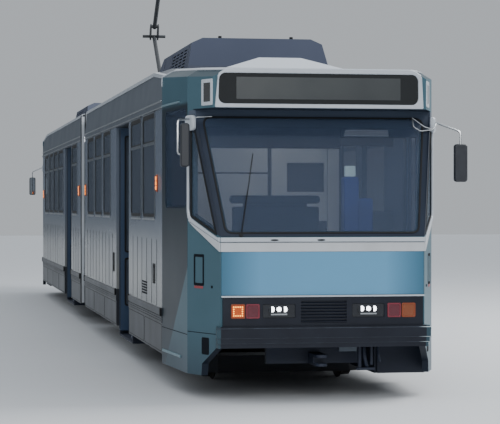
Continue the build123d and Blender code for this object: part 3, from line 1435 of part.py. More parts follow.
# Driver's cab: desk under the windscreen, seat, and the partition behind
DESK_TOP = RAIL + 1500
DESK_REAR = 11150
DESK_FRONT = 11650
DESK_RIGHT = 900
DESK_LENGTH = 1540
DRIVER_X = 10930
DRIVER_WIDTH = 500
PARTITION_X = 9960
PARTITION_HIGH = 1900
with BuildPart() as cab_fittings:
    with BuildSketch(Plane.XZ.offset(DESK_RIGHT)):
        Polygon(
            (DESK_REAR + 100, FLOOR),
            (DESK_REAR + 100, DESK_TOP - 120),
            (DESK_REAR, DESK_TOP - 60),
            (DESK_REAR + 10, DESK_TOP - 30),
            (DESK_FRONT, DESK_TOP),
            (DESK_FRONT, FLOOR),
            align=None,
        )
    extrude(amount=-DESK_LENGTH)
    with BuildSketch(Plane.XZ.offset(DRIVER_WIDTH)):
        Polygon(*[(DRIVER_X - dx, FLOOR + dz) for dx, dz in SEAT_PROFILE], align=None)
    extrude(amount=-DRIVER_WIDTH)
    with BuildSketch(Plane.XY.offset(FLOOR)):
        with Locations((PARTITION_X, -380)):
            Rectangle(30, 1770)
    extrude(amount=PARTITION_HIGH)
save_for_both_sections(cab_fittings, "cab_fittings")
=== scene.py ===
import bmesh
import bpy
import math
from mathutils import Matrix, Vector


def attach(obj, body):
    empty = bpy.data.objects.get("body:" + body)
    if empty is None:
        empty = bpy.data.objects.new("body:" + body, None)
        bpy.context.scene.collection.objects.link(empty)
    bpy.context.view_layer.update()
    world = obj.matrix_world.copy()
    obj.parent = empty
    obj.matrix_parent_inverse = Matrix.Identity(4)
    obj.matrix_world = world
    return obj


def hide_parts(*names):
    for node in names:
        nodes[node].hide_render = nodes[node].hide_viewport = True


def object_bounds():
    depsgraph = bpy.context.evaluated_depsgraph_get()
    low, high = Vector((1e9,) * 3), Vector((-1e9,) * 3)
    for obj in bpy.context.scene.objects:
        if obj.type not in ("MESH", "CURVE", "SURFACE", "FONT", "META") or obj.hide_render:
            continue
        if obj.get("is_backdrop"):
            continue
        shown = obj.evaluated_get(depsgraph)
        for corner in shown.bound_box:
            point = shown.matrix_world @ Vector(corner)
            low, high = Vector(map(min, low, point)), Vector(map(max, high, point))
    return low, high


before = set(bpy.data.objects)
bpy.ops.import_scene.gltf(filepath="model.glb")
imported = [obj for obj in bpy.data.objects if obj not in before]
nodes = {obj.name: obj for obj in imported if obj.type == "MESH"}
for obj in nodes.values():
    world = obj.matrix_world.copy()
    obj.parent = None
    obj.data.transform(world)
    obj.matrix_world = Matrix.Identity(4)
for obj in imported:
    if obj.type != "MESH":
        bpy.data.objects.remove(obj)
cad_low, cad_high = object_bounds()
scene = bpy.context.scene

# Camera: it stands 17.7 m ahead of the cab, to the tram's right and just above its window sills, as
# in the photograph, and looks back along the tram's right side through a long lens.
eye = Vector((29.415, -3.811, 1.8905))
yaw, pitch = 0.1732, -0.0033
look = Vector((-math.cos(yaw) * math.cos(pitch), math.sin(yaw) * math.cos(pitch), math.sin(pitch)))
camera = bpy.data.objects.new("camera", bpy.data.cameras.new("camera"))
camera.data.lens = 134.6
camera.data.sensor_width = 36.0
camera.data.clip_end = 300.0
camera.location = eye
camera.rotation_euler = look.to_track_quat("-Z", "Y").to_euler()
scene.collection.objects.link(camera)
scene.camera = camera


# Floor and light: a matt pale studio floor under a soft even dome, one broad lamp high over the
# tram's left and one low in front, so that the cab is lit as it is in open shade. A small one lights
# the bulkhead inside the cab.
def linear(code):
    """An sRGB hex colour as the linear values that a shader takes."""
    parts = [int(code[i : i + 2], 16) / 255 for i in (1, 3, 5)]
    return [p / 12.92 if p <= 0.04045 else ((p + 0.055) / 1.055) ** 2.4 for p in parts] + [1.0]


def add_node(tree, kind, inputs=(), **settings):
    """Adds a node. Each input is a constant or another node's output."""
    made = tree.nodes.new(kind)
    for name, value in settings.items():
        setattr(made, name, value)
    for name, value in dict(inputs).items():
        if isinstance(value, bpy.types.NodeSocket):
            tree.links.new(value, made.inputs[name])
        else:
            made.inputs[name].default_value = value
    return made


def finish(name, colour, roughness, second=None, patch_mm=500, patch=0.5, grain_mm=4, grain=0.1, **constants):
    """A real surface: its colour drifts to a second one in patches, and it has a fine grain.

    Patches and grain are real sizes in mm, and a grain too fine to show is given as 2 mm or coarser.
    """
    material = bpy.data.materials.new(name)
    material.use_nodes = True
    tree = material.node_tree
    shader = tree.nodes["Principled BSDF"]
    shader.inputs["Base Color"].default_value = linear(colour)
    place = add_node(tree, "ShaderNodeTexCoord").outputs["Object"]
    patches = add_node(
        tree, "ShaderNodeTexNoise", {"Vector": place, "Scale": 1000 / patch_mm, "Detail": 3.0}
    ).outputs["Fac"]
    if second:
        share = add_node(
            tree, "ShaderNodeMapRange",
            {"Value": patches, "From Min": 0.35, "From Max": 0.7, "To Max": patch},
        ).outputs["Result"]
        drift = add_node(
            tree, "ShaderNodeMix", {"Factor": share, "A": linear(colour), "B": linear(second)},
            data_type="RGBA",
        )
        tree.links.new(drift.outputs["Result"], shader.inputs["Base Color"])
    gloss = add_node(
        tree, "ShaderNodeMapRange",
        {"Value": patches, "To Min": roughness * 0.8, "To Max": min(1.0, roughness * 1.25)},
    )
    tree.links.new(gloss.outputs["Result"], shader.inputs["Roughness"])
    fine = add_node(
        tree, "ShaderNodeTexNoise", {"Vector": place, "Scale": 1000 / grain_mm, "Detail": 2.0}
    ).outputs["Fac"]
    bump = add_node(tree, "ShaderNodeBump", {"Height": fine, "Strength": grain, "Distance": 0.001})
    tree.links.new(bump.outputs["Normal"], shader.inputs["Normal"])
    for socket, value in constants.items():
        shader.inputs[socket.replace("_", " ")].default_value = value
    return material


def coverage(tree, edges, most=1.0):
    """The share of a coat. Each edge is a reading, and its values where the coat begins and is full."""
    share = most
    for reading, start, stop in edges:
        full = add_node(
            tree, "ShaderNodeMapRange", {"Value": reading, "From Min": start, "From Max": stop}
        ).outputs["Result"]
        share = add_node(tree, "ShaderNodeMath", {0: share, 1: full}, operation="MULTIPLY").outputs["Value"]
    return share


floor_mesh = bpy.data.meshes.new("floor")
floor_mesh.from_pydata([(-90, -90, 0), (90, -90, 0), (90, 90, 0), (-90, 90, 0)], [], [(0, 1, 2, 3)])
floor = bpy.data.objects.new("floor", floor_mesh)
scene.collection.objects.link(floor)
floor_mesh.materials.append(finish("studio_floor", "#c9cbcd", 0.85, grain=0.0))
floor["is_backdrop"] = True

world = bpy.data.worlds.new("studio")
world.use_nodes = True
tree = world.node_tree
sky = tree.nodes["Background"]
facing = add_node(tree, "ShaderNodeTexCoord").outputs["Generated"]
toward = add_node(tree, "ShaderNodeSeparateXYZ", {"Vector": facing}).outputs
climb = coverage(tree, [(toward["Z"], 0.12, 0.75)])
dome = add_node(
    tree, "ShaderNodeMix", {"Factor": climb, "A": linear("#a2a6aa"), "B": linear("#e4eaf1")},
    data_type="RGBA",
).outputs["Result"]
# A dark curtain hangs beyond the tram's right rear, low down, for its glossy side to mirror.
curtain_edges = [
    (toward["Y"], -0.01, -0.07), (toward["Y"], -0.8, -0.6), (toward["Z"], 0.3, 0.12),
    (toward["X"], 0.1, -0.1),
]
curtain = coverage(tree, curtain_edges)
backdrop = add_node(
    tree, "ShaderNodeMix", {"Factor": curtain, "A": dome, "B": linear("#383e46")}, data_type="RGBA"
)
tree.links.new(backdrop.outputs["Result"], sky.inputs["Color"])
sky.inputs["Strength"].default_value = 1.3
scene.world = world
for name, place, aim, size, power in (
    ("lamp_over", (6, 14, 15), (4, 0, 1.5), 12, 4600),
    ("lamp_front", (24, -2, 7), (11, 0, 1.5), 6, 700),
    ("lamp_cab", (11.1, -0.1, 2.7), (10, -0.1, 2.1), 0.5, 5),
):
    light = bpy.data.lights.new(name, "AREA")
    light.size = size
    light.energy = power
    lamp = bpy.data.objects.new(name, light)
    lamp.location = place
    lamp.visible_camera = False
    lamp.rotation_euler = (Vector(aim) - Vector(place)).to_track_quat("-Z", "Y").to_euler()
    scene.collection.objects.link(lamp)

# Body shell: riveted aluminium side walls, skirts and coving. Cast film on the walls mirrors the
# floor softly, and it is painted silver grey along the waist and darker and bluer higher up, as a
# painted reflection of the pale floor below. Sprayed paint on the skirts and coving is duller, and
# the skirts hold a little dust.
TREAD = 0.028
FRONT = 11.745
HALF_WIDTH = 1.335
CAB_JOINT = 9.9
NOSE_HALF, CORNER_HALF, CORNER_BACK = 1.007, 1.243, 0.594
BODY_END = 0.4


def overpaint(material, colour, *edges, most=1.0):
    """Sprays a second colour over the first, as far as the edges let it."""
    tree = material.node_tree
    base = tree.nodes["Principled BSDF"].inputs["Base Color"]
    coats = {"Factor": coverage(tree, edges, most), "A": base.links[0].from_socket, "B": linear(colour)}
    tree.links.new(add_node(tree, "ShaderNodeMix", coats, data_type="RGBA").outputs["Result"], base)


def place_on(material):
    """A spot's distance from the tram's middle, along it and aside, and its height over the treads."""
    tree = material.node_tree
    place = add_node(
        tree, "ShaderNodeSeparateXYZ", {"Vector": tree.nodes["Texture Coordinate"].outputs["Object"]}
    ).outputs
    return {
        "along": add_node(tree, "ShaderNodeMath", {0: place["X"]}, operation="ABSOLUTE").outputs["Value"],
        "aside": add_node(tree, "ShaderNodeMath", {0: place["Y"]}, operation="ABSOLUTE").outputs["Value"],
        "height": add_node(
            tree, "ShaderNodeMath", {0: place["Z"], 1: TREAD}, operation="SUBTRACT"
        ).outputs["Value"],
    }


def coat(node, material):
    """Gives a part of both sections its finish."""
    for end in "ab":
        nodes[f"{end}_{node}"].data.materials[0] = material


side_film = finish("side_film_grey_painted_reflection", "#8b8c8a", 0.22, "#707375", 900, 0.7, 30, 0.03, Specular_IOR_Level=0.16)
# Painted reflection: the film is lighter along the waist and darker and bluer above it.
overpaint(side_film, "#6a7380", (place_on(side_film)["height"], 1.022, 1.772))
coat("side_walls", side_film)
skirt_paint = finish("skirt_paint_grey", "#2b2f36", 0.35, "#3b3d3e", 500, 0.5, 6, 0.08, Specular_IOR_Level=0.2)
coat("skirts", skirt_paint)
coving_paint = finish(
    "coving_paint_grey", "#5b6169", 0.4, "#51575e", 800, 0.6, 8, 0.05, Specular_IOR_Level=0.25
)
coat("roof", coving_paint)
# The fairing on the roof's front slope is white.
at = place_on(coving_paint)
overpaint(
    coving_paint, "#b9bfc6", (at["along"], 8.92, 8.921), (at["aside"], 0.757, 0.756),
    (at["height"], 3.24, 3.241),
)


def wall(side):
    """Places u along the tram, v up and w out from the side wall's face."""
    return lambda u, v, w: (u, side * (HALF_WIDTH + w), v)


def prism(outline, low, high, put):
    """A slab of the outline between two depths of a surface, as corners and faces."""
    count = len(outline)
    corners = [put(u, v, w) for w in (low, high) for u, v in outline]
    faces = [list(range(count)), list(range(count, 2 * count))]
    faces += [[i, (i + 1) % count, (i + 1) % count + count, i + count] for i in range(count)]
    return corners, faces


def ring(outer, inner, low, high, put):
    """A frame between two outlines with the same number of points."""
    count = len(outer)
    corners = [put(u, v, w) for w in (low, high) for line in (outer, inner) for u, v in line]
    faces = []
    for i in range(count):
        j = (i + 1) % count
        faces += [
            [i, j, j + 2 * count, i + 2 * count],
            [i + count, j + count, j + 3 * count, i + 3 * count],
            [i, j, j + count, i + count],
            [i + 2 * count, j + 2 * count, j + 3 * count, i + 3 * count],
        ]
    return corners, faces


def rounded(points, radius, steps=4):
    """The polygon with each corner turned on a radius."""
    result = []
    for i, point in enumerate(points):
        corner = Vector(point)
        before = (Vector(points[i - 1]) - corner).normalized()
        after = (Vector(points[(i + 1) % len(points)]) - corner).normalized()
        half = before.angle(after) / 2
        centre = corner + (before + after).normalized() * radius / math.sin(half)
        start = corner + before * radius / math.tan(half) - centre
        finish_at = corner + after * radius / math.tan(half) - centre
        for step in range(steps + 1):
            result.append(tuple(centre + start.slerp(finish_at, step / steps).normalized() * radius))
    return result


def rectangle(left, bottom, right, top, radius=0.0, steps=4):
    corners = [(left, bottom), (right, bottom), (right, top), (left, top)]
    return rounded(corners, radius, steps) if radius else corners


def slab(left, bottom, right, top, low, high, put, radius=0.0, steps=4):
    """A rectangular slab between two depths of a surface."""
    return prism(rectangle(left, bottom, right, top, radius, steps), low, high, put)


def border(left, bottom, right, top, edge, low, high, put, radius, inner_radius=None, steps=4):
    """A rectangular frame that is one width all round."""
    inner_radius = radius - edge if inner_radius is None else inner_radius
    outer = rectangle(left, bottom, right, top, radius, steps)
    inner = rectangle(left + edge, bottom + edge, right - edge, top - edge, inner_radius, steps)
    return ring(outer, inner, low, high, put)


def skin(rows):
    """A solid through rows of corners with the same count, closed at both ends."""
    count = len(rows[0])
    faces = [
        [r * count + i, r * count + (i + 1) % count, (r + 1) * count + (i + 1) % count, (r + 1) * count + i]
        for r in range(len(rows) - 1)
        for i in range(count)
    ]
    faces += [list(range(count)), [(len(rows) - 1) * count + i for i in range(count)]]
    return [corner for row in rows for corner in row], faces


def together(solids):
    """Several solids as one list of corners and one of faces."""
    corners, faces = [], []
    for more_corners, more_faces in solids:
        faces += [[i + len(corners) for i in face] for face in more_faces]
        corners += more_corners
    return corners, faces


def piece(name, solids, material, body, bevel=0.0, smooth=False):
    """One piece that rides on a body. Its heights are over the wheels' treads, and flanges reach lower."""
    corners, faces = together(solids)
    mesh = bpy.data.meshes.new(name)
    mesh.from_pydata([(x, y, z + TREAD) for x, y, z in corners], [], faces)
    shape = bmesh.new()
    shape.from_mesh(mesh)
    bmesh.ops.recalc_face_normals(shape, faces=shape.faces)
    shape.to_mesh(mesh)
    shape.free()
    mesh.materials.append(material)
    if smooth:
        mesh.polygons.foreach_set("use_smooth", [True] * len(mesh.polygons))
        mesh.set_sharp_from_angle(angle=math.radians(40))
    made = bpy.data.objects.new(name, mesh)
    scene.collection.objects.link(made)
    if bevel:
        edge = made.modifiers.new("edge", "BEVEL")
        edge.width = bevel
        edge.segments = 2
        edge.limit_method = "ANGLE"
    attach(made, body)
    return made


def at_both_ends(name, solids, material, bevel=0.0, smooth=False):
    """The same piece on section A and, turned half a turn, on section B."""
    turned = [([(-x, -y, z) for x, y, z in corners], faces) for corners, faces in solids]
    return [
        piece(f"a_{name}", solids, material, "section_a", bevel, smooth),
        piece(f"b_{name}", turned, material, "section_b", bevel, smooth),
    ]


# Window rubbers and frames: each pane is held in the wall by a black EPDM section inside a thin
# anodised frame, with a transom under its top vent and a satin aluminium sill bar below. The rubber
# stays matt, anodising has a soft grey sheen, and the bars catch a bright line of light.
SILL, TRANSOM, WINDOW_TOP = 1.756, 2.545, 2.857
WINDOWS = {
    -1: [(0.975, 1.965), (2.22, 3.195), (3.5, 4.44), (6.985, 8.015), (8.2, 9.3)],
    1: [(1.085, 2.095), (4.11, 5.24), (5.48, 6.48), (6.72, 7.7), (7.96, 9.075)],
}
rubber = finish("epdm_rubber", "#0c0d0f", 0.6, "#15171a", 60, 0.4, 2, 0.15, Specular_IOR_Level=0.3)
bright_trim = finish("satin_aluminium", "#a9adb1", 0.32, "#8d9195", 300, 0.5, 2, 0.05, Metallic=0.8)
anodised = finish("anodised_frame_grey", "#5c636b", 0.4, "#4c5259", 200, 0.5, 2, 0.05, Metallic=0.5)


def about(rear, fore, past):
    """The four sides of a window, moved out past its opening."""
    return rear - past, SILL - past, fore + past, WINDOW_TOP + past


rubbers, frames, transoms, sills = [], [], [], []
for side, windows in WINDOWS.items():
    put = wall(side)
    for rear, fore in windows:
        left, right, vent = rear + 0.02, fore - 0.02, TRANSOM + 0.016
        rubbers.append(border(*about(rear, fore, 0.016), 0.036, -0.002, 0.006, put, 0.086))
        rubbers.append(border(left, vent, right, WINDOW_TOP - 0.02, 0.016, -0.001, 0.004, put, 0.05))
        frames.append(border(*about(rear, fore, 0.034), 0.018, -0.002, 0.009, put, 0.104))
        transoms.append(slab(left, TRANSOM - 0.016, right, vent, -0.001, 0.008, put))
        sills.append(slab(rear + 0.03, SILL - 0.05, fore - 0.03, SILL - 0.032, -0.001, 0.012, put))
at_both_ends("window_rubbers", rubbers, rubber, 0.002)
at_both_ends("window_frames", frames, anodised, 0.003)
at_both_ends("window_transoms", transoms, anodised, 0.002)
at_both_ends("sill_bars", sills, bright_trim, 0.003)

# Glass: toughened side panes with a dark grey body tint, through which the saloon shows only
# faintly. The windscreen is clear laminated glass, given a faint blue-grey colour as a painted
# reflection of the sky.
glass = finish(
    "tinted_glass", "#565f6b", 0.05, "#616975", 900, 0.5, 60, 0.006, Alpha=0.75, Specular_IOR_Level=0.14
)
# Painted reflection: the half-transparent blue-grey colour stands for the sky mirrored in the screen.
clear_glass = finish(
    "windscreen_glass", "#4a5870", 0.03, "#414e65", 900, 0.5, 60, 0.004, Alpha=0.32, Specular_IOR_Level=0.4
)
coat("side_glass", glass)
coat("cab_glass", clear_glass)

# Panel seams: the lower walls are narrow planks riveted side by side under the film, which show as
# upright dark joints. The skirts are long lift-off panels with rounded corners, and the rub strip
# over them ends in moulded rubber blocks.
seams, skirt_lines, end_caps = [], [], []
DOORWAYS = {-1: (5.185, 6.685), 1: (2.29, 3.79)}
for side, (rear_edge, fore_edge) in DOORWAYS.items():
    for rear, fore in ((BODY_END, rear_edge), (fore_edge, CAB_JOINT)):
        count = round((fore - rear) / 0.46)
        for i in range(1, count):
            x = rear + (fore - rear) * i / count
            seams.append(slab(x - 0.004, 0.79, x + 0.004, 1.5, -0.001, 0.0022, wall(side)))
        panels = max(1, round((fore - rear) / 1.5))
        for i in range(panels):
            left = rear + (fore - rear) * i / panels + 0.02
            right = rear + (fore - rear) * (i + 1) / panels - 0.02
            skirt_lines.append(border(left, 0.325, right, 0.615, 0.006, -0.001, 0.0015, wall(side), 0.05))
        for x in (rear, fore - 0.075):
            end_caps.append(slab(x, 0.7, x + 0.075, 0.79, 0.004, 0.022, wall(side), 0.01, 2))
at_both_ends("wall_seams", seams, rubber)
at_both_ends("skirt_joints", skirt_lines, rubber)
at_both_ends("rub_rail_ends", end_caps, rubber, 0.003)

# Gutters and roof edge: two bright drip strips over the windows and a capping where the coving
# meets the roof, all rolled aluminium sections riveted on. The capping's pale paint has gone chalky.
pale_capping = finish("pale_capping_paint", "#b4b9be", 0.4, "#9a9fa5", 400, 0.5, 5, 0.06)
EDGE_HALF, EDGE_HIGH, TOP_HIGH = 1.3, 3.31, 3.38
gutters, cappings = [], []
for side in (-1, 1):
    for z in (2.9, 2.968):
        gutters.append(slab(BODY_END, z - 0.006, CAB_JOINT, z + 0.006, 0.0, 0.014, wall(side)))
    section = [(0.012, -0.03), (0.012, 0.012), (-0.06, 0.024), (-0.06, 0.0)]
    stations = [
        (BODY_END, EDGE_HALF, EDGE_HIGH), (9.0, EDGE_HALF, EDGE_HIGH), (CAB_JOINT, EDGE_HALF + 0.009, 3.226)
    ]
    rows = [[(x, side * (half + y), high + z) for y, z in section] for x, half, high in stations]
    cappings.append(skin(rows))
at_both_ends("gutter_strips", gutters, bright_trim, 0.002)
at_both_ends("roof_edge_capping", cappings, pale_capping, 0.003)


# Marker lamps: oval polycarbonate mouldings, amber right through, with three diodes one above the
# other, screwed to the walls near the cab and beside the articulation.
def disc(centre, radius, low, high, put, sides=14):
    """A short round stud that stands on a surface."""
    turn = 2 * math.pi / sides
    rim = [
        (centre[0] + radius * math.cos(i * turn), centre[1] + radius * math.sin(i * turn))
        for i in range(sides)
    ]
    return prism(rim, low, high, put)


amber_lens = finish("amber_polycarbonate", "#b4511c", 0.22, "#8d3c18", 40, 0.5, 8, 0.3, Coat_Weight=0.5)
amber_light = finish(
    "amber_diode", "#ff9a3c", 0.3, grain=0.0, Emission_Color=linear("#ff8a30"), Emission_Strength=2.6
)
markers, diodes = [], []
for side in (-1, 1):
    for x in (0.62, 9.5):
        markers.append(slab(x - 0.045, 2.01, x + 0.045, 2.2, 0.0, 0.016, wall(side), 0.04, 5))
        for z in (2.055, 2.105, 2.155):
            diodes.append(disc((x, z), 0.022, 0.014, 0.021, wall(side)))
at_both_ends("marker_lamps", markers, amber_lens, 0.005)
at_both_ends("marker_diodes", diodes, amber_light)


# Cab shell: glass-fibre mouldings painted teal in two-pack gloss, which mirrors softly with long
# slight waves, under a pale roof. The teal is darker towards the bottom.
def facet(side):
    """Places u back from the nose along the corner facet, v up and w out from it."""
    length = math.hypot(CORNER_BACK, CORNER_HALF - NOSE_HALF)
    back, out = CORNER_BACK / length, (CORNER_HALF - NOSE_HALF) / length
    return lambda u, v, w: (FRONT - u * back + w * out, side * (NOSE_HALF + u * out + w * back), v)


def taper(side):
    """Places u forward from the body joint along the tapered cab side, v up and w out from it."""
    run, narrowing = FRONT - CORNER_BACK - CAB_JOINT, HALF_WIDTH - CORNER_HALF
    length = math.hypot(run, narrowing)
    fore, inward = run / length, narrowing / length
    return lambda u, v, w: (CAB_JOINT + u * fore + w * inward, side * (HALF_WIDTH - u * inward + w * fore), v)


def front(u, v, w):
    """Places u to the tram's left, v up and w out from the flat of the nose."""
    return (FRONT + w, u, v)


teal = finish("cab_paint_teal_and_painted_shade", "#45626e", 0.32, "#3c5761", 1200, 0.6, 25, 0.03, Specular_IOR_Level=0.12)
at = place_on(teal)
# A charcoal film runs on from the body across the cab's side and ends in a straight slant.
slanted = add_node(
    teal.node_tree, "ShaderNodeMath", {0: at["along"], 1: -0.95, 2: at["height"]}, operation="MULTIPLY_ADD"
).outputs["Value"]
overpaint(teal, "#232d34", (slanted, -9.358, -9.328), (at["height"], 2.9, 2.86), (at["along"], 11.16, 11.15))
# The teal is darker towards the bottom.
overpaint(teal, "#32414c", (at["height"], 0.75, 0.22), most=0.75)
# Faces that look up, such as the slope of the eaves, get a darker painted shade, and the roof is
# white down to the moulding along them.
normal = teal.node_tree.nodes["Texture Coordinate"].outputs["Normal"]
facing = add_node(teal.node_tree, "ShaderNodeSeparateXYZ", {"Vector": normal}).outputs
overpaint(teal, "#163540", (facing["Z"], 0.2, 0.201))
CROWN_FALL, CROWN_REAR, PAINT_DROP = 0.114 / 1.935, 3.3, 0.022
above_line = add_node(
    teal.node_tree, "ShaderNodeMath", {0: at["along"], 1: CROWN_FALL, 2: at["height"]},
    operation="MULTIPLY_ADD",
).outputs["Value"]
line_height = CROWN_REAR + CROWN_FALL * CAB_JOINT - PAINT_DROP
overpaint(teal, "#b9bfc6", (above_line, line_height - 0.002, line_height + 0.002))
# What faces down, and the cut edge of the apron, are painted dark as shade.
overpaint(teal, "#262e3a", (facing["Z"], -0.5, -0.501))
lengthways = add_node(
    teal.node_tree, "ShaderNodeMath", {0: facing["X"]}, operation="ABSOLUTE"
).outputs["Value"]
overpaint(teal, "#1a212c", (lengthways, 0.45, 0.451), (at["height"], 0.53, 0.529))
coat("cab_shell", teal)

# Eave mouldings: a half-round bead covers the edge of the white roof on each side of the cab, and
# turns down over the joint with the body. Its gelcoat has a clean wet shine.
BOX_SETBACK, BOX_TOP = 0.135, 3.199
cab_white = finish("gelcoat_white", "#b9bfc6", 0.3, "#a5abb2", 500, 0.5, 10, 0.04, Coat_Weight=0.3)


def tube(path, radius, sides=8):
    """A round bar along a line of points."""
    points = [Vector(point) for point in path]
    aside = (points[1] - points[0]).orthogonal().normalized()
    rows = []
    for i, point in enumerate(points):
        along = (points[min(i + 1, len(points) - 1)] - points[max(i - 1, 0)]).normalized()
        aside = (aside - along * aside.dot(along)).normalized()
        over = along.cross(aside)
        angles = [2 * math.pi * step / sides for step in range(sides)]
        rows.append([tuple(point + (aside * math.cos(a) + over * math.sin(a)) * radius) for a in angles])
    return skin(rows)


def eave(x, drop):
    """A place on the cab's sloping eave, a given drop below the crown."""
    half = HALF_WIDTH - (x - CAB_JOINT) * (HALF_WIDTH - CORNER_HALF) / (FRONT - CORNER_BACK - CAB_JOINT)
    if x > FRONT - CORNER_BACK:
        half = NOSE_HALF + (FRONT - x) * (CORNER_HALF - NOSE_HALF) / CORNER_BACK
    return (x, half - 0.15 * (1 - drop / 0.09), CROWN_REAR - (x - CAB_JOINT) * CROWN_FALL - drop)


line = [eave(x, PAINT_DROP) for x in (FRONT - BOX_SETBACK, FRONT - CORNER_BACK, 10.4, 10.01)]
line += [eave(9.955, PAINT_DROP + 0.008), eave(9.925, PAINT_DROP + 0.026), eave(9.912, 0.088)]
line += [(9.91, HALF_WIDTH, 3.17), (9.91, HALF_WIDTH, 3.115)]
beads = [tube([(x, side * y, z) for x, y, z in line], 0.009) for side in (-1, 1)]
at_both_ends("eave_mouldings", beads, cab_white, 0.0, True)

# Front panel: one aluminium sheet between the lamps and the waist, sprayed glossy light blue, with
# painted shade that deepens the blue toward its two edges, and a narrow white lip along its foot.
PANEL_BOTTOM, BAND_LOW = 0.986, 1.421
SCREEN_BOTTOM, SCREEN_TOP = 1.565, 2.811
sky_blue = finish(
    "front_paint_sky_blue_painted_edge_shade", "#5d96b9", 0.22, "#568db0", 1500, 0.6, 25, 0.03, Coat_Weight=0.4,
    Coat_Roughness=0.08,
)
# Painted shade: the blue darkens toward both edges.
overpaint(sky_blue, "#2a5b72", (place_on(sky_blue)["aside"], 0.62, 1.05))
panel = slab(-0.998, PANEL_BOTTOM + 0.016, 0.998, BAND_LOW, -0.002, 0.008, front, 0.01, 2)
at_both_ends("front_panel", [panel], sky_blue, 0.003)
lip = slab(-1.0, PANEL_BOTTOM - 0.002, 1.0, PANEL_BOTTOM + 0.014, -0.002, 0.036, front)
at_both_ends("front_panel_lip", [lip], cab_white, 0.004)

# Waist band: an off-white gelcoat moulding across the nose and up the corner facets, with a
# brighter rounded ledge along its top that carries the windscreen.
BAND_TOP = 1.51
band = [slab(-1.006, BAND_LOW, 1.006, BAND_TOP, -0.002, 0.014, front)]
ledge = [slab(-1.008, BAND_TOP + 0.006, 1.008, SCREEN_BOTTOM - 0.006, -0.002, 0.03, front)]
for side in (-1, 1):
    slope = [(0.0, BAND_LOW), (0.5, 1.655), (0.6, 1.71), (0.0, BAND_TOP)]
    band.append(prism(slope, -0.002, 0.014, facet(side)))
    slope = [(0.0, BAND_TOP + 0.006), (0.6, 1.716), (0.575, 1.75)]
    slope += [(0.05, SCREEN_BOTTOM - 0.006), (0.0, SCREEN_BOTTOM - 0.006)]
    ledge.append(prism(slope, -0.002, 0.018, facet(side)))
band_white = finish("waist_gelcoat", "#bdc0c4", 0.35, "#a9abae", 300, 0.5, 8, 0.05, Coat_Weight=0.2)
at_both_ends("waist_band", band, band_white, 0.004)
at_both_ends("waist_ledge", ledge, cab_white, 0.006)

# Windscreen surround: the pillars and the strip over the glass are painted satin black, with a
# painted highlight of the sky making it paler toward the top, and a soft rubber section grips the
# screen all round.
SETBACK = 0.49
rise = SCREEN_TOP - SCREEN_BOTTOM
slant = math.hypot(SETBACK, rise)


def screen(u, v, w):
    """Places u to the left, v up the raked screen from its foot, and w out from it."""
    back, up = SETBACK / slant, rise / slant
    return (FRONT - v * back + w * up, u, SCREEN_BOTTOM + v * up + w * back)


SCREEN_OUTLINE = [(-0.95, 0.04), (0.95, 0.04), (1.11, 1.25), (-1.11, 1.25)]
widening = (CORNER_HALF - NOSE_HALF) * SETBACK / CORNER_BACK
surround_top = 1.006 + widening
surround_edge = [(-1.009, 0.002), (1.009, 0.002), (surround_top, slant - 0.003), (-surround_top, slant - 0.003)]
screen_black = finish(
    "screen_surround_black_painted_top_highlight", "#1d2635", 0.3, "#252f42", 300, 0.5, 12, 0.04, Specular_IOR_Level=0.25
)
# Painted highlight: paler toward the top, where the sky lights it.
overpaint(screen_black, "#4b5565", (place_on(screen_black)["height"], SCREEN_TOP - 0.15, SCREEN_TOP - 0.04))


def grown(points, amount):
    """A convex outline, counter-clockwise, moved outwards."""
    result = []
    for i, point in enumerate(points):
        corner = Vector(point)
        before = (corner - Vector(points[i - 1])).normalized()
        after = (Vector(points[(i + 1) % len(points)]) - corner).normalized()
        out = Vector((before.y + after.y, -before.x - after.x)).normalized()
        scale = amount / max(0.3, out.dot(Vector((after.y, -after.x))))
        result.append(tuple(corner + out * scale))
    return result


QUARTER = [(0.07, 1.592), (0.56, 1.762), (0.56, 2.672), (0.51, 2.672)]
surround = [ring(rounded(surround_edge, 0.01), rounded(SCREEN_OUTLINE, 0.07), -0.002, 0.004, screen)]
outer, inner = grown(SCREEN_OUTLINE, 0.012), grown(SCREEN_OUTLINE, -0.006)
gasket = [ring(rounded(outer, 0.08), rounded(inner, 0.064), -0.001, 0.01, screen)]
for side in (-1, 1):
    pillar = [(-0.003, SCREEN_BOTTOM + 0.004), (0.61, 1.765), (0.61, 2.8), (0.485, 2.8)]
    surround.append(ring(rounded(pillar, 0.008), rounded(QUARTER, 0.012), -0.002, 0.004, facet(side)))
    outer, inner = grown(QUARTER, 0.01), grown(QUARTER, -0.016)
    gasket.append(ring(rounded(outer, 0.01), rounded(inner, 0.008), -0.001, 0.008, facet(side)))
at_both_ends("screen_surround", surround, screen_black)
at_both_ends("screen_rubbers", gasket, rubber, 0.003)

# Corner trim: a rounded white gelcoat moulding, screwed on behind each quarter light, that sweeps
# forward into the waist band.
trim = []
for side in (-1, 1):
    inner = [(0.53, 1.73), (0.572, 1.765), (0.59, 1.83), (0.596, 2.7)]
    outer = [(0.622, 2.7), (0.622, 1.81), (0.605, 1.745), (0.56, 1.7)]
    trim.append(prism(inner + outer, -0.002, 0.022, facet(side)))
at_both_ends("corner_trim", trim, cab_white, 0.01)

# Sign box: a white rounded gelcoat frame round a sheet of black glass, which mirrors faintly. The
# blank cloth blind behind it shows as a duller, greyer oblong.
SIGN_LOW = SCREEN_TOP


def box_face(u, v, w):
    return front(u, v, w - BOX_SETBACK)


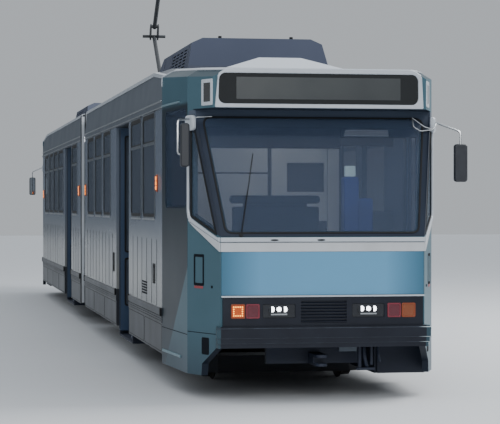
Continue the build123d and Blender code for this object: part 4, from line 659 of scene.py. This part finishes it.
# Its top corners fall away with the eaves.
corner = [(1.016, 3.09), (1.014, 3.12), (1.0, 3.148), (0.96, 3.172), (0.92, 3.19), (0.87, BOX_TOP - 0.003)]
foot = [(-1.042, SIGN_LOW + 0.001), (1.03, SIGN_LOW + 0.001), (1.016, 3.09), (-1.02, 3.09)]
frame_outer = rounded(foot, 0.012, 5)[:12] + corner + [(-y, z) for y, z in corner[::-1]]
glass_low, glass_high = SIGN_LOW + 0.039, BOX_TOP - 0.052
opening = [(-1.01, glass_low), (0.98, glass_low), (0.976, glass_high), (-1.0, glass_high)]
frame_inner = rounded(opening, 0.065, 5)
sign_frame = ring(frame_outer, frame_inner, -0.004, 0.026, box_face)
at_both_ends("sign_frame", [sign_frame], cab_white, 0.008, True)
sign_glass = finish("sign_glass_black", "#0d1012", 0.06, "#14181b", 500, 0.5, 60, 0.005, Coat_Weight=0.5)
blind_grey = finish("blind_cloth_grey", "#34383a", 0.3, "#3c4040", 300, 0.6, 10, 0.05)
at_both_ends("sign_glass", [prism(frame_inner, -0.003, 0.006, box_face)], sign_glass)
blind = slab(-0.83, SIGN_LOW + 0.085, 0.8, BOX_TOP - 0.09, 0.005, 0.0085, box_face)
at_both_ends("sign_blind", [blind], blind_grey)

# Side signs: a small blank panel of the same black glass in a white gelcoat frame, screwed to the
# facet at each side of the sign box.
plates, plate_glass = [], []
for side in (-1, 1):
    plates.append(border(0.145, 2.835, 0.35, 3.09, 0.035, -0.002, 0.01, facet(side), 0.012, 0.006, 2))
    plate_glass.append(slab(0.18, 2.87, 0.315, 3.055, -0.002, 0.005, facet(side), 0.006, 2))
at_both_ends("side_sign_frames", plates, cab_white, 0.003)
at_both_ends("side_sign_glass", plate_glass, sign_glass)

# Cab side: a recessed step and grab handle, drawn as flat matt black pockets of painted shade, the
# joint of the lower panel, and a gutter and a foot bead moulded in glass fibre and painted paler
# teal as a highlight. A moulded acrylic reflector lies under the handle.
# Matt black for the visors and desk hood, and painted shade where it fills pockets and louvre slots.
black_plastic_and_shade = finish(
    "black_plastic_and_painted_pocket_shade", "#0a0f17", 0.7, "#121820", 50, 0.5, 3, 0.1, Specular_IOR_Level=0.1
)
red_mark = finish("reflector_red", "#8e2f35", 0.35, "#6f262c", 30, 0.5, 5, 0.3)
dark_parts, teal_parts, red_parts = [], [], []
for side in (-1, 1):
    # Painted shade: the handle and step pockets are flat matt black pieces on the surface.
    rim = rectangle(0.312, 1.085, 0.507, 1.391, 0.012, 2)
    hole = rectangle(0.336, 1.11, 0.483, 1.365, 0.008, 2)
    dark_parts.append(ring(rim, hole, -0.002, 0.003, facet(side)))
    dark_parts.append(slab(0.216, 0.42, 0.355, 0.585, -0.002, 0.002, facet(side), 0.015, 3))
    dark_parts.append(slab(0.0, 0.624, 0.634, 0.63, -0.002, 0.0015, facet(side)))
    dark_parts.append(disc((0.158, 1.08), 0.013, -0.001, 0.006, facet(side)))
    red_parts.append(slab(0.331, 1.058, 0.497, 1.082, -0.002, 0.003, facet(side)))
    teal_parts.append(slab(0.05, 2.897, 0.9, 2.915, -0.002, 0.02, taper(side)))
    if side < 0:
        dark_parts.append(slab(0.0, 0.59, 1.25, 0.596, -0.002, 0.0015, taper(side)))
        teal_parts.append(slab(0.06, 0.34, 0.95, 0.368, -0.002, 0.012, taper(side)))
at_both_ends("cab_side_recesses", dark_parts, black_plastic_and_shade)
# Painted highlight: the beads are a paler teal than the cab, for the light along them.
bead_teal = finish("bead_teal_painted_highlight", "#6c8790", 0.35, "#5c7882", 80, 0.6, 5, 0.08)
at_both_ends("cab_side_beads", teal_parts, bead_teal, 0.004)
at_both_ends("cab_side_reflectors", red_parts, red_mark)

# Bumper and lamp panel: a stepped steel beam in satin black paint, with a painted highlight along
# the upper edge of each step, brightest at the tram's left. Its returned ends are teal.
bumper_black = finish(
    "bumper_paint_black", "#0f1420", 0.42, "#1a202c", 200, 0.5, 5, 0.12, Specular_IOR_Level=0.3
)
overpaint(bumper_black, "#2c434d", (place_on(bumper_black)["aside"], 1.012, 1.013))
coat("bumper", bumper_black)
# Painted highlight: pale strips on the steps' upper edges, brightest ahead and to the left.
edge_highlight = finish("bumper_edge_painted_highlight", "#3a414d", 0.4, "#20262f", 90, 0.9, 4, 0.2, Metallic=0.3)
place = edge_highlight.node_tree.nodes["Texture Coordinate"].outputs["Object"]
at = add_node(edge_highlight.node_tree, "ShaderNodeSeparateXYZ", {"Vector": place}).outputs
ahead_left = add_node(
    edge_highlight.node_tree, "ShaderNodeMath", {0: at["X"], 1: at["Y"]}, operation="MULTIPLY"
).outputs["Value"]
overpaint(edge_highlight, "#c3d0d4", (ahead_left, 11.0, 12.0))
edges = []
for z, out in ((0.54, 0.045), (0.59, 0.059), (0.685, 0.071)):
    reach = NOSE_HALF + out * math.tan((math.pi / 2 - math.atan2(CORNER_HALF - NOSE_HALF, CORNER_BACK)) / 2)
    line = [(0.003, reach), (-out - 0.06, NOSE_HALF + 0.025)]
    for side in (-1, 1):
        tip = [(side * y, out + x) for x, y in line]
        strip = [(0.0, out + 0.001), *tip, (tip[1][0], tip[1][1] - 0.006)]
        strip += [(side * (reach - 0.006), out - 0.006), (0.0, out - 0.006)]
        edges.append(prism(strip, z, z + 0.007, lambda y, w, z: (FRONT + w, y, z)))
at_both_ends("bumper_edges", edges, edge_highlight, 0.002)

# Lamps: the outer two on each side are ribbed acrylic lenses, amber and red, in moulded bezels, and
# the inner one is a black housing with three white diodes. The amber one at the right is lit, and
# its diodes shine as a square of dots.
lens = finish("lamp_lens_set", "#5c1c28", 0.2, "#4a1722", 60, 0.6, 9, 0.4, Coat_Weight=0.25)
outward = place_on(lens)["aside"]
overpaint(lens, "#7d3f1c", (outward, 0.766, 0.767))
overpaint(lens, "#0e121a", (outward, 0.618, 0.617))
coat("lamps", lens)
white_light = finish(
    "white_diode", "#ffffff", 0.3, grain=0.0, Emission_Color=linear("#f4f8ff"), Emission_Strength=6.0
)
HALF_ROUND = ((-0.014, 0.842), (0.004, 0.843), (0.014, 0.856), (0.014, 0.88), (0.004, 0.893), (-0.014, 0.894))
lit, dim, amber_rims, red_rims = [], [], [], []
for side in (-1, 1):
    middle = side * 0.441
    lit.append(disc((middle, 0.868), 0.023, 0.028, 0.034, front))
    for y in (middle - 0.06, middle + 0.064):
        lit.append(prism([(y + a, b) for a, b in HALF_ROUND], 0.028, 0.034, front))
    dim.append(slab(middle - 0.08, 0.812, middle + 0.08, 0.826, 0.028, 0.031, front))
    for inner, outer, rims in ((0.63, 0.764, red_rims), (0.772, 0.91, amber_rims)):
        low, high = sorted((side * inner, side * outer))
        rims.append(border(low, 0.781, high, 0.921, 0.014, 0.02, 0.034, front, 0.014, 0.008))
at_both_ends("headlight_diodes", lit, white_light)
at_both_ends("headlight_reflectors", dim, bright_trim)
red_bezel = finish("red_bezel", "#7d2634", 0.3, "#611e2a", 40, 0.5, 6, 0.2)
amber_bezel = finish("amber_bezel", "#8a3d17", 0.3, "#6f3213", 40, 0.5, 6, 0.2)
at_both_ends("red_lamp_bezels", red_rims, red_bezel, 0.003)
at_both_ends("amber_lamp_bezels", amber_rims, amber_bezel, 0.003)
glow = finish(
    "amber_glow", "#ffb347", 0.3, grain=0.0, Emission_Color=linear("#ffb048"), Emission_Strength=3.0
)
ember = finish(
    "amber_ember", "#b24a0c", 0.3, grain=0.0, Emission_Color=linear("#e2610f"), Emission_Strength=0.15
)
LIT = (-0.841, 0.851)
beads = [
    disc((LIT[0] + 0.0105 * across, LIT[1] + 0.0105 * up), 0.0062, 0.0325, 0.0355, front, 8)
    for across in (-4, -2, 0, 2, 4)
    for up in (-4, -2, 0, 2, 4)
    if (abs(across) != abs(up) or abs(across) == 4) and abs(across) + abs(up) > 2
]
pane = slab(LIT[0] - 0.056, LIT[1] - 0.056, LIT[0] + 0.056, LIT[1] + 0.056, 0.028, 0.0315, front, 0.01)
piece("a_lit_indicator_lens", [pane], ember, "section_a")
piece("a_lit_indicator", beads, glow, "section_a")

# Air conditioner: a folded aluminium case in dull blue-grey paint, with rows of pressed louvres in
# its side faces, whose slots are matt black strips of painted shade, rubber-capped lifting points on
# top and lap joints between its covers.
pod_paint = finish("air_con_paint_grey", "#333c51", 0.4, "#3c455a", 900, 0.6, 8, 0.06)
coat("air_con", pod_paint)
POD_TOP, POD_FOOT_HALF, POD_TOP_HALF = 3.8, 0.84, 0.765
side_run = math.hypot(POD_FOOT_HALF - POD_TOP_HALF, POD_TOP - 0.06 - TOP_HIGH)


def pod_side(side):
    """Places u along, v up the pod's leaning side and w out from it."""
    lean = (POD_FOOT_HALF - POD_TOP_HALF) / side_run
    up = (POD_TOP - 0.06 - TOP_HIGH) / side_run
    return lambda u, v, w: (u, side * (POD_FOOT_HALF - v * lean + w * up), TOP_HIGH + v * up + w * lean)


def level(u, v, w):
    """Places u along the tram, v to its left and w up."""
    return (u, v, w)


slots, joints, eyes = [], [], []
for side in (-1, 1):
    for column in range(4):
        for row in range(7):
            left, low = 6.597 + 0.33 * column, 0.057 + 0.04 * row
            slots.append(slab(left, low, left + 0.256, low + 0.016, -0.0115, -0.0095, pod_side(side), 0.006, 2))
    for x in (5.85, 6.5, 7.95):
        joints.append(slab(x - 0.012, 0.01, x + 0.012, side_run - 0.005, -0.002, 0.004, pod_side(side)))
for x in (5.9, 6.5, 7.3, 7.95):
    joints.append(slab(x - 0.012, -0.6, x + 0.012, 0.6, POD_TOP - 0.001, POD_TOP + 0.004, level))
    for y in (-0.42, 0.42):
        eyes.append(disc((x + 0.06, y), 0.022, POD_TOP, POD_TOP + 0.03, level, 10))
# Painted shade: a black strip behind each louvre slot.
at_both_ends("air_con_louvres", slots, black_plastic_and_shade)
at_both_ends("air_con_joints", joints, pod_paint)
at_both_ends("air_con_eyes", eyes, rubber, 0.004)

# Doors: folded aluminium leaves in glossy navy paint, glazed above and below the middle bar, with
# matt black finger rubbers down both upright edges.
door_navy = finish("door_paint_navy", "#3b4c64", 0.25, "#435368", 400, 0.5, 10, 0.05, Coat_Weight=0.3)
LEAF_BOTTOM, LEAF_TOP = 0.249, 2.868
PANES = ((LEAF_BOTTOM + 0.33, 1.18), (1.27, LEAF_TOP - 0.11))
LEAF_EDGE = 0.062
DOORWAY_MIDDLES = {"left": 3.04, "right": 5.935}


def leaf_frame(name):
    """Width of the leaf, and how to place u along it from the jamb, v up it and w out through it."""
    words = name.split("_")
    turn = 1 if words[0] == "a" else -1
    if "front" in words:
        start, stop = (0.168, 0.662) if "jamb" in words else (0.678, 1.162)

        def put(u, v, w):
            x, y, z = taper(1)(start + u, v, w - 0.024)
            return (turn * x, turn * y, z)

        return stop - start, put
    side = 1 if words[1] == "left" else -1
    end = 1 if "fore" in words else -1
    start, stop = (-0.01, 0.3535) if "jamb" in words else (0.3695, 0.723)
    stands_open = words[:2] in (["a", "right"], ["b", "left"])

    def put(u, v, w):
        along, inward = start + u, -0.022 - w
        if stands_open and "jamb" in words:
            along, inward = -inward, along
        elif stands_open:
            along, inward = inward + 0.092, 0.723 - along
        return (turn * (DOORWAY_MIDDLES[words[1]] + end * (0.732 - along)), turn * side * (1.289 - inward), v)

    return stop - start, put


for name in [name for name in nodes if name.endswith("_leaf")]:
    nodes[name].data.materials[0] = door_navy
    width, put = leaf_frame(name)
    short = name[: -len("_leaf")]
    panes = [
        slab(LEAF_EDGE - 0.004, low - 0.004, width - LEAF_EDGE + 0.004, high + 0.004, -0.004, 0.004, put)
        for low, high in PANES
    ]
    piece(f"{short}_panes", panes, glass, name)
    beads = []
    left, right = LEAF_EDGE - 0.012, width - LEAF_EDGE + 0.012
    for low, high in PANES:
        for w in (-0.019, 0.014):
            beads.append(border(left, low - 0.012, right, high + 0.012, 0.02, w, w + 0.005, put, 0.03, 0.02))
    for u in (-0.003, width - 0.001):
        beads.append(slab(u, LEAF_BOTTOM + 0.02, u + 0.004, LEAF_TOP - 0.02, -0.013, 0.013, put))
    piece(f"{short}_rubbers", beads, rubber, name, 0.001)

# Running gear: cast steel bogie frames, rough under brake dust and painted a dark navy as the shade
# under the tram, forged wheels with a dull brown film of rust and dust, and a welded underframe in
# dark paint deepened to blue-black as painted shade.
bogie_paint = finish("bogie_steel_dust_and_painted_shade", "#181d27", 0.7, "#2a2a2c", 120, 0.8, 5, 0.3)
underframe_paint = finish("underframe_dark_paint_and_shade", "#0d182b", 0.6, "#162136", 300, 0.6, 8, 0.15)
tread = finish("wheel_steel_dusty", "#35302c", 0.55, "#221f1d", 90, 0.7, 5, 0.25, Metallic=0.4)
for name in nodes:
    if name.endswith("bogie_frame"):
        nodes[name].data.materials[0] = bogie_paint
    if name.endswith("underframe"):
        nodes[name].data.materials[0] = underframe_paint
    if name.endswith("wheelset"):
        nodes[name].data.materials[0] = tread

# Articulation: a curved panel each side, in flat light grey paint, that stays in line with the
# middle bogie. Each section ends beside it in a painted post with a narrow rubber lip.
drum_paint = finish(
    "drum_paint_light_grey", "#bfc3c7", 0.5, "#abafb3", 500, 0.5, 8, 0.05, Specular_IOR_Level=0.1
)
nodes["gangway_drum"].data.materials[0] = drum_paint
lips, posts = [], []
for side in (-1, 1):
    lips.append(slab(BODY_END - 0.012, 0.32, BODY_END, 3.3, -0.014, -0.002, wall(side)))
    posts.append(slab(BODY_END - 0.01, 0.32, BODY_END, 3.28, -0.06, -0.016, wall(side)))
at_both_ends("gangway_lips", lips, rubber, 0.004)
at_both_ends("gangway_posts", posts, drum_paint, 0.002)

# Pantograph: welded steel tube arms in dull dark grey paint, on ribbed insulators of glossy brown
# glazed porcelain. Matt carbon strips lie along the collector head on tarnished copper.
pan_paint = finish("pantograph_paint_dark", "#2b2f34", 0.5, "#3b3a38", 150, 0.6, 5, 0.12)
overpaint(pan_paint, "#4a2c20", (place_on(pan_paint)["height"], 3.61, 3.609))
head_paint = finish("collector_head_copper", "#6d4a35", 0.45, "#54402f", 60, 0.6, 4, 0.15, Metallic=0.6)
overpaint(head_paint, "#18191a", (place_on(head_paint)["height"], 5.816, 5.8165))
for name in nodes:
    if name.startswith("pantograph"):
        nodes[name].data.materials[0] = head_paint if name.endswith("head") else pan_paint
porcelain = finish("insulator_brown", "#4a2c20", 0.2, "#5a3628", 60, 0.4, 4, 0.05, Coat_Weight=0.5)
ribs = [
    disc((x, y), 0.066, low, low + 0.014, level, 18)
    for x in (-0.62, -1.65)
    for y in (-0.38, 0.38)
    for low in (3.42, 3.47, 3.52, 3.57)
]
piece("insulator_ribs", ribs, porcelain, "section_b", 0.004, True)

# Saloon and cab fittings: hard seat shells moulded in grey plastic, on poles, and a driver's desk in
# charcoal laminate, whose fine grain keeps it dull under the screen.
shell_grey = finish("seat_shell_grey", "#4a5560", 0.5, "#55606b", 200, 0.5, 3, 0.1)
desk_black = finish("desk_charcoal", "#23262b", 0.6, "#2c3036", 100, 0.5, 2, 0.2)
coat("seats_and_poles", shell_grey)
coat("cab_fittings", desk_black)

# Mirrors: silvered glass in moulded black housings on bent, polished stainless tubes. The left one
# hangs well out and the right one sits close in, both behind a white bracket cover at the top of the
# corner. Thin stays run from both to the top corners of the windscreen.
stainless = finish("stainless_tube", "#b9bcbe", 0.25, "#9a9da0", 80, 0.5, 2, 0.04, Metallic=0.9)
housing_black = finish("mirror_housing_black", "#23262c", 0.45, "#2c2f35", 60, 0.5, 2, 0.1)
silvered = finish("mirror_silver", "#aeb6bd", 0.03, grain=0.0, Metallic=1.0)


def bent(path, cut=0.03):
    """The line with each of its bends eased."""
    points = [Vector(point) for point in path]
    result = [points[0]]
    for before, corner, after in zip(points, points[1:], points[2:]):
        start = corner + (before - corner).normalized() * cut
        stop = corner + (after - corner).normalized() * cut
        result += [start, (start + stop + 2 * corner) / 4, stop]
    return result + [points[-1]]


# Each arm and stay is drawn as a line of points along the tube.
right_arm = [(11.262, 1.199, 2.712), (11.278, 1.241, 2.712), (11.425, 1.376, 2.694)]
right_arm += [(11.425, 1.376, 2.362), (11.425, 1.33, 2.362)]
left_arm = [(11.262, 1.199, 2.7), (11.278, 1.241, 2.7), (11.425, 1.466, 2.6), (11.425, 1.466, 2.44)]
right_stay = [(11.326, 1.025, 2.739), (11.33, 1.17, 2.729), (11.3, 1.225, 2.72), (11.278, 1.241, 2.712)]
left_stay = [(11.325, 0.994, 2.743), (11.361, 0.997, 2.652), (11.384, 1.064, 2.605)]
left_stay += [(11.36, 1.2, 2.622), (11.3, 1.25, 2.682), (11.278, 1.241, 2.7)]
cross_stay = [(11.325, 0.994, 2.743), (11.367, 1.11, 2.649), (11.355, 1.205, 2.624)]


def mirror(side):
    """Places u out from the tram's middle, v up and w forward from the mirrored face."""
    return lambda u, v, w: (11.39 + w, side * u, v)


heads, faces_back = [], []
stays = ((-1, right_stay), (1, left_stay), (1, cross_stay))
bars = [(side, bent(stay, 0.018), 0.006) for side, stay in stays]
for side, inner, outer, low, high, arm in (
    (-1, 1.262, 1.352, 2.24, 2.666, right_arm),
    (1, 1.4, 1.532, 2.1, 2.478, left_arm),
):
    put = mirror(side)
    heads.append(slab(inner, low, outer, high, 0.0, 0.07, put, 0.03, 5))
    faces_back.append(slab(inner + 0.01, low + 0.012, outer - 0.01, high - 0.012, -0.003, 0.001, put, 0.024, 5))
    bars.append((side, bent(arm), 0.011))
housings = at_both_ends("mirror_housings", heads, housing_black, 0.014, True)
for end, turn, housing in zip("ab", (1, -1), housings):
    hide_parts(f"{end}_mirrors")
    arms = [tube([(turn * x, turn * side * y, z) for x, y, z in line], radius) for side, line, radius in bars]
    piece(f"{end}_mirror_arms", arms, stainless, f"section_{end}", 0.0, True)
at_both_ends("mirror_faces", faces_back, silvered)
covers = [slab(0.455, 2.6, 0.61, 2.75, 0.0, 0.05, facet(side), 0.035, 4) for side in (-1, 1)]
at_both_ends("mirror_bracket_covers", covers, cab_white, 0.015, True)

# Windscreen wiper: one slim black steel arm that rises from behind the ledge, with its matt rubber
# blade parked upright at the right. Two spare spindle holes in the ledge have flat oval covers.
wiper = [
    disc((-0.806, 0.012), 0.018, 0.0, 0.024, screen, 12),
    tube([screen(-0.806, 0.02, 0.02), screen(-0.77, 0.2, 0.026), screen(-0.72, 0.45, 0.022)], 0.0055),
    prism([(-0.735, 0.38), (-0.727, 0.38), (-0.634, 0.862), (-0.642, 0.862)], 0.004, 0.02, screen),
]
for y in (-0.484, -0.026):
    oval = [
        (y + 0.04 * math.cos(i * math.pi / 8), 1.533 + 0.0085 * math.sin(i * math.pi / 8))
        for i in range(16)
    ]
    wiper.append(prism(oval, 0.026, 0.034, front))
at_both_ends("wiper", wiper, rubber)

# Sun visors: dull black plastic panels, the right one drawn lower, with a pale moulded air grille at
# the foot of the left one and a dark printed band on the glass. A charcoal header hides the ceiling
# behind them.
visors = [
    prism([(-1.045, 0.945), (0.25, 0.945), (0.28, 1.27), (-1.08, 1.27)], -0.05, -0.035, screen),
    prism([(0.27, 1.07), (1.055, 1.07), (1.08, 1.27), (0.28, 1.27)], -0.06, -0.045, screen),
]
at_both_ends("sun_visors", visors, black_plastic_and_shade)
grille_grey = finish("grille_plastic_grey", "#a2a8ad", 0.6, "#8f969c", 300, 0.5, 4, 0.08)
grille = []
for i in range(4):
    foot, lean = 1.078 + 0.018 * i, 0.006 * i
    bar = [(0.3 + lean, foot), (0.755, foot), (0.755, foot + 0.01), (0.302 + lean, foot + 0.01)]
    grille.append(prism(bar, -0.044, -0.03, screen))
at_both_ends("cab_air_grille", grille, grille_grey)
shade_band = finish("shade_band_film", "#3a4659", 0.08, grain=0.0, Alpha=0.8)
strip = prism([(-1.09, 1.15), (1.09, 1.15), (1.1, 1.238), (-1.1, 1.238)], 0.0005, 0.0015, screen)
at_both_ends("shade_band", [strip], shade_band)
header = slab(-1.15, 2.5, 1.15, 2.75, -1.84, -1.78, front)
at_both_ends("saloon_header", [header], desk_black, 0.01)

# Saloon lights: two rows of moulded opal acrylic diffusers over fluorescent tubes, screwed to the
# ceiling. Opal spreads the light, so each shows as one even glow.
opal = finish(
    "opal_diffuser", "#f3f5f2", 0.5, grain=0.0, Emission_Color=linear("#f2f6ff"), Emission_Strength=2.2
)
strips = []
for side in (-1, 1):
    for i in range(6):
        start = 1.5 + i * 1.38
        strips.append(slab(start, side * 0.55 - 0.07, start + 1.25, side * 0.55 + 0.07, 3.2, 3.238, level))
at_both_ends("saloon_lights", strips, opal)

# Bulkhead and desk: pale satin laminate lockers, a framed window beside them and an end post, where
# a ticket machine stands in smooth blue powder coat with a dimly lit screen. A dull black hood tops
# the desk.
bulkhead_grey = finish("bulkhead_laminate_grey", "#aab0b4", 0.5, "#989ea3", 300, 0.5, 4, 0.06)
machine_blue = finish("machine_blue", "#1c3f96", 0.4, "#183684", 200, 0.5, 3, 0.08)
ticket_pale = finish(
    "ticket_screen_pale", "#a9c0c8", 0.3, grain=0.0, Emission_Color=linear("#a9c6cf"), Emission_Strength=0.4
)
lockers = [
    slab(-0.98, 2.215, -0.225, 2.52, -1.772, -1.745, front),
    slab(-0.98, 1.6, -0.225, 2.2, -1.772, -1.745, front),
    ring(rectangle(-0.185, 1.7, 0.415, 2.52), rectangle(-0.017, 2.01, 0.385, 2.316), -1.772, -1.745, front),
    slab(0.42, 0.9, 0.545, 2.7, -1.772, -1.73, front),
]
at_both_ends("bulkhead_panels", lockers, bulkhead_grey, 0.004)
machine = [
    slab(0.458, 0.9, 0.612, 2.16, -1.25, -1.1, front, 0.02, 2),
    slab(0.5, 0.9, 0.765, 1.94, -1.3, -1.12, front, 0.02, 2),
]
at_both_ends("ticket_machine", machine, machine_blue, 0.01)
ticket_screen = slab(0.478, 2.165, 0.586, 2.275, -1.2, -1.14, front, 0.01, 2)
at_both_ends("ticket_screen", [ticket_screen], ticket_pale, 0.005)
hood = [
    slab(-0.84, 1.885, 0.062, 1.965, -0.5, -0.44, front, 0.035, 4),
    slab(-0.81, 1.49, 0.06, 1.855, -0.52, -0.48, front, 0.02, 2),
    slab(-0.7, 1.84, -0.06, 1.9, -0.515, -0.49, front),
]
at_both_ends("desk_hood", hood, black_plastic_and_shade, 0.006)

# Under the bumper: a grey access plate, brackets of welded plate in flat dark paint deepened to
# blue-black as painted shade, and the two rigid steel brake pipes that they carry.
under = [
    slab(0.4, 0.25, 0.43, 0.5, -0.26, -0.22, front),
    slab(0.52, 0.3, 0.545, 0.5, -0.26, -0.22, front),
    slab(0.38, 0.25, 0.56, 0.275, -0.26, -0.2, front),
]
access = slab(0.205, 0.436, 0.383, 0.498, -0.24, -0.22, front)
at_both_ends("access_plate", [access], shell_grey, 0.003)
pipes = [
    tube([(11.5, 0.46, 0.47), (11.53, 0.46, 0.38), (11.52, 0.48, 0.3), (11.49, 0.5, 0.27)], 0.018),
    tube([(11.5, 0.6, 0.48), (11.53, 0.6, 0.4), (11.5, 0.62, 0.33)], 0.015),
]
at_both_ends("front_brackets", under, underframe_paint, 0.003)
at_both_ends("brake_pipes", pipes, underframe_paint, 0.0, True)

# Body fittings: a pressed louvre under the front window, whose openings are drawn as dark strips of
# painted shade, and black rubber-lined flush handles by the front window and by the right door.
louvres, handles = [], []
for i in range(5):
    z = 0.872 + i * 0.031
    louvres.append(slab(8.085, z, 8.551, z + 0.016, -0.001, 0.006, wall(-1)))
for left, right, low, high in ((9.13, 9.285, 1.02, 1.235), (4.78, 4.93, 1.0, 1.25)):
    handles.append(border(left, low, right, high, 0.02, -0.001, 0.008, wall(-1), 0.012, 0.008, 2))
at_both_ends("side_louvre", louvres, black_plastic_and_shade)
at_both_ends("side_handles", handles, rubber, 0.002)

low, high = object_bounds()
{"cad": [list(cad_low), list(cad_high)], "visual": [list(low), list(high)]}
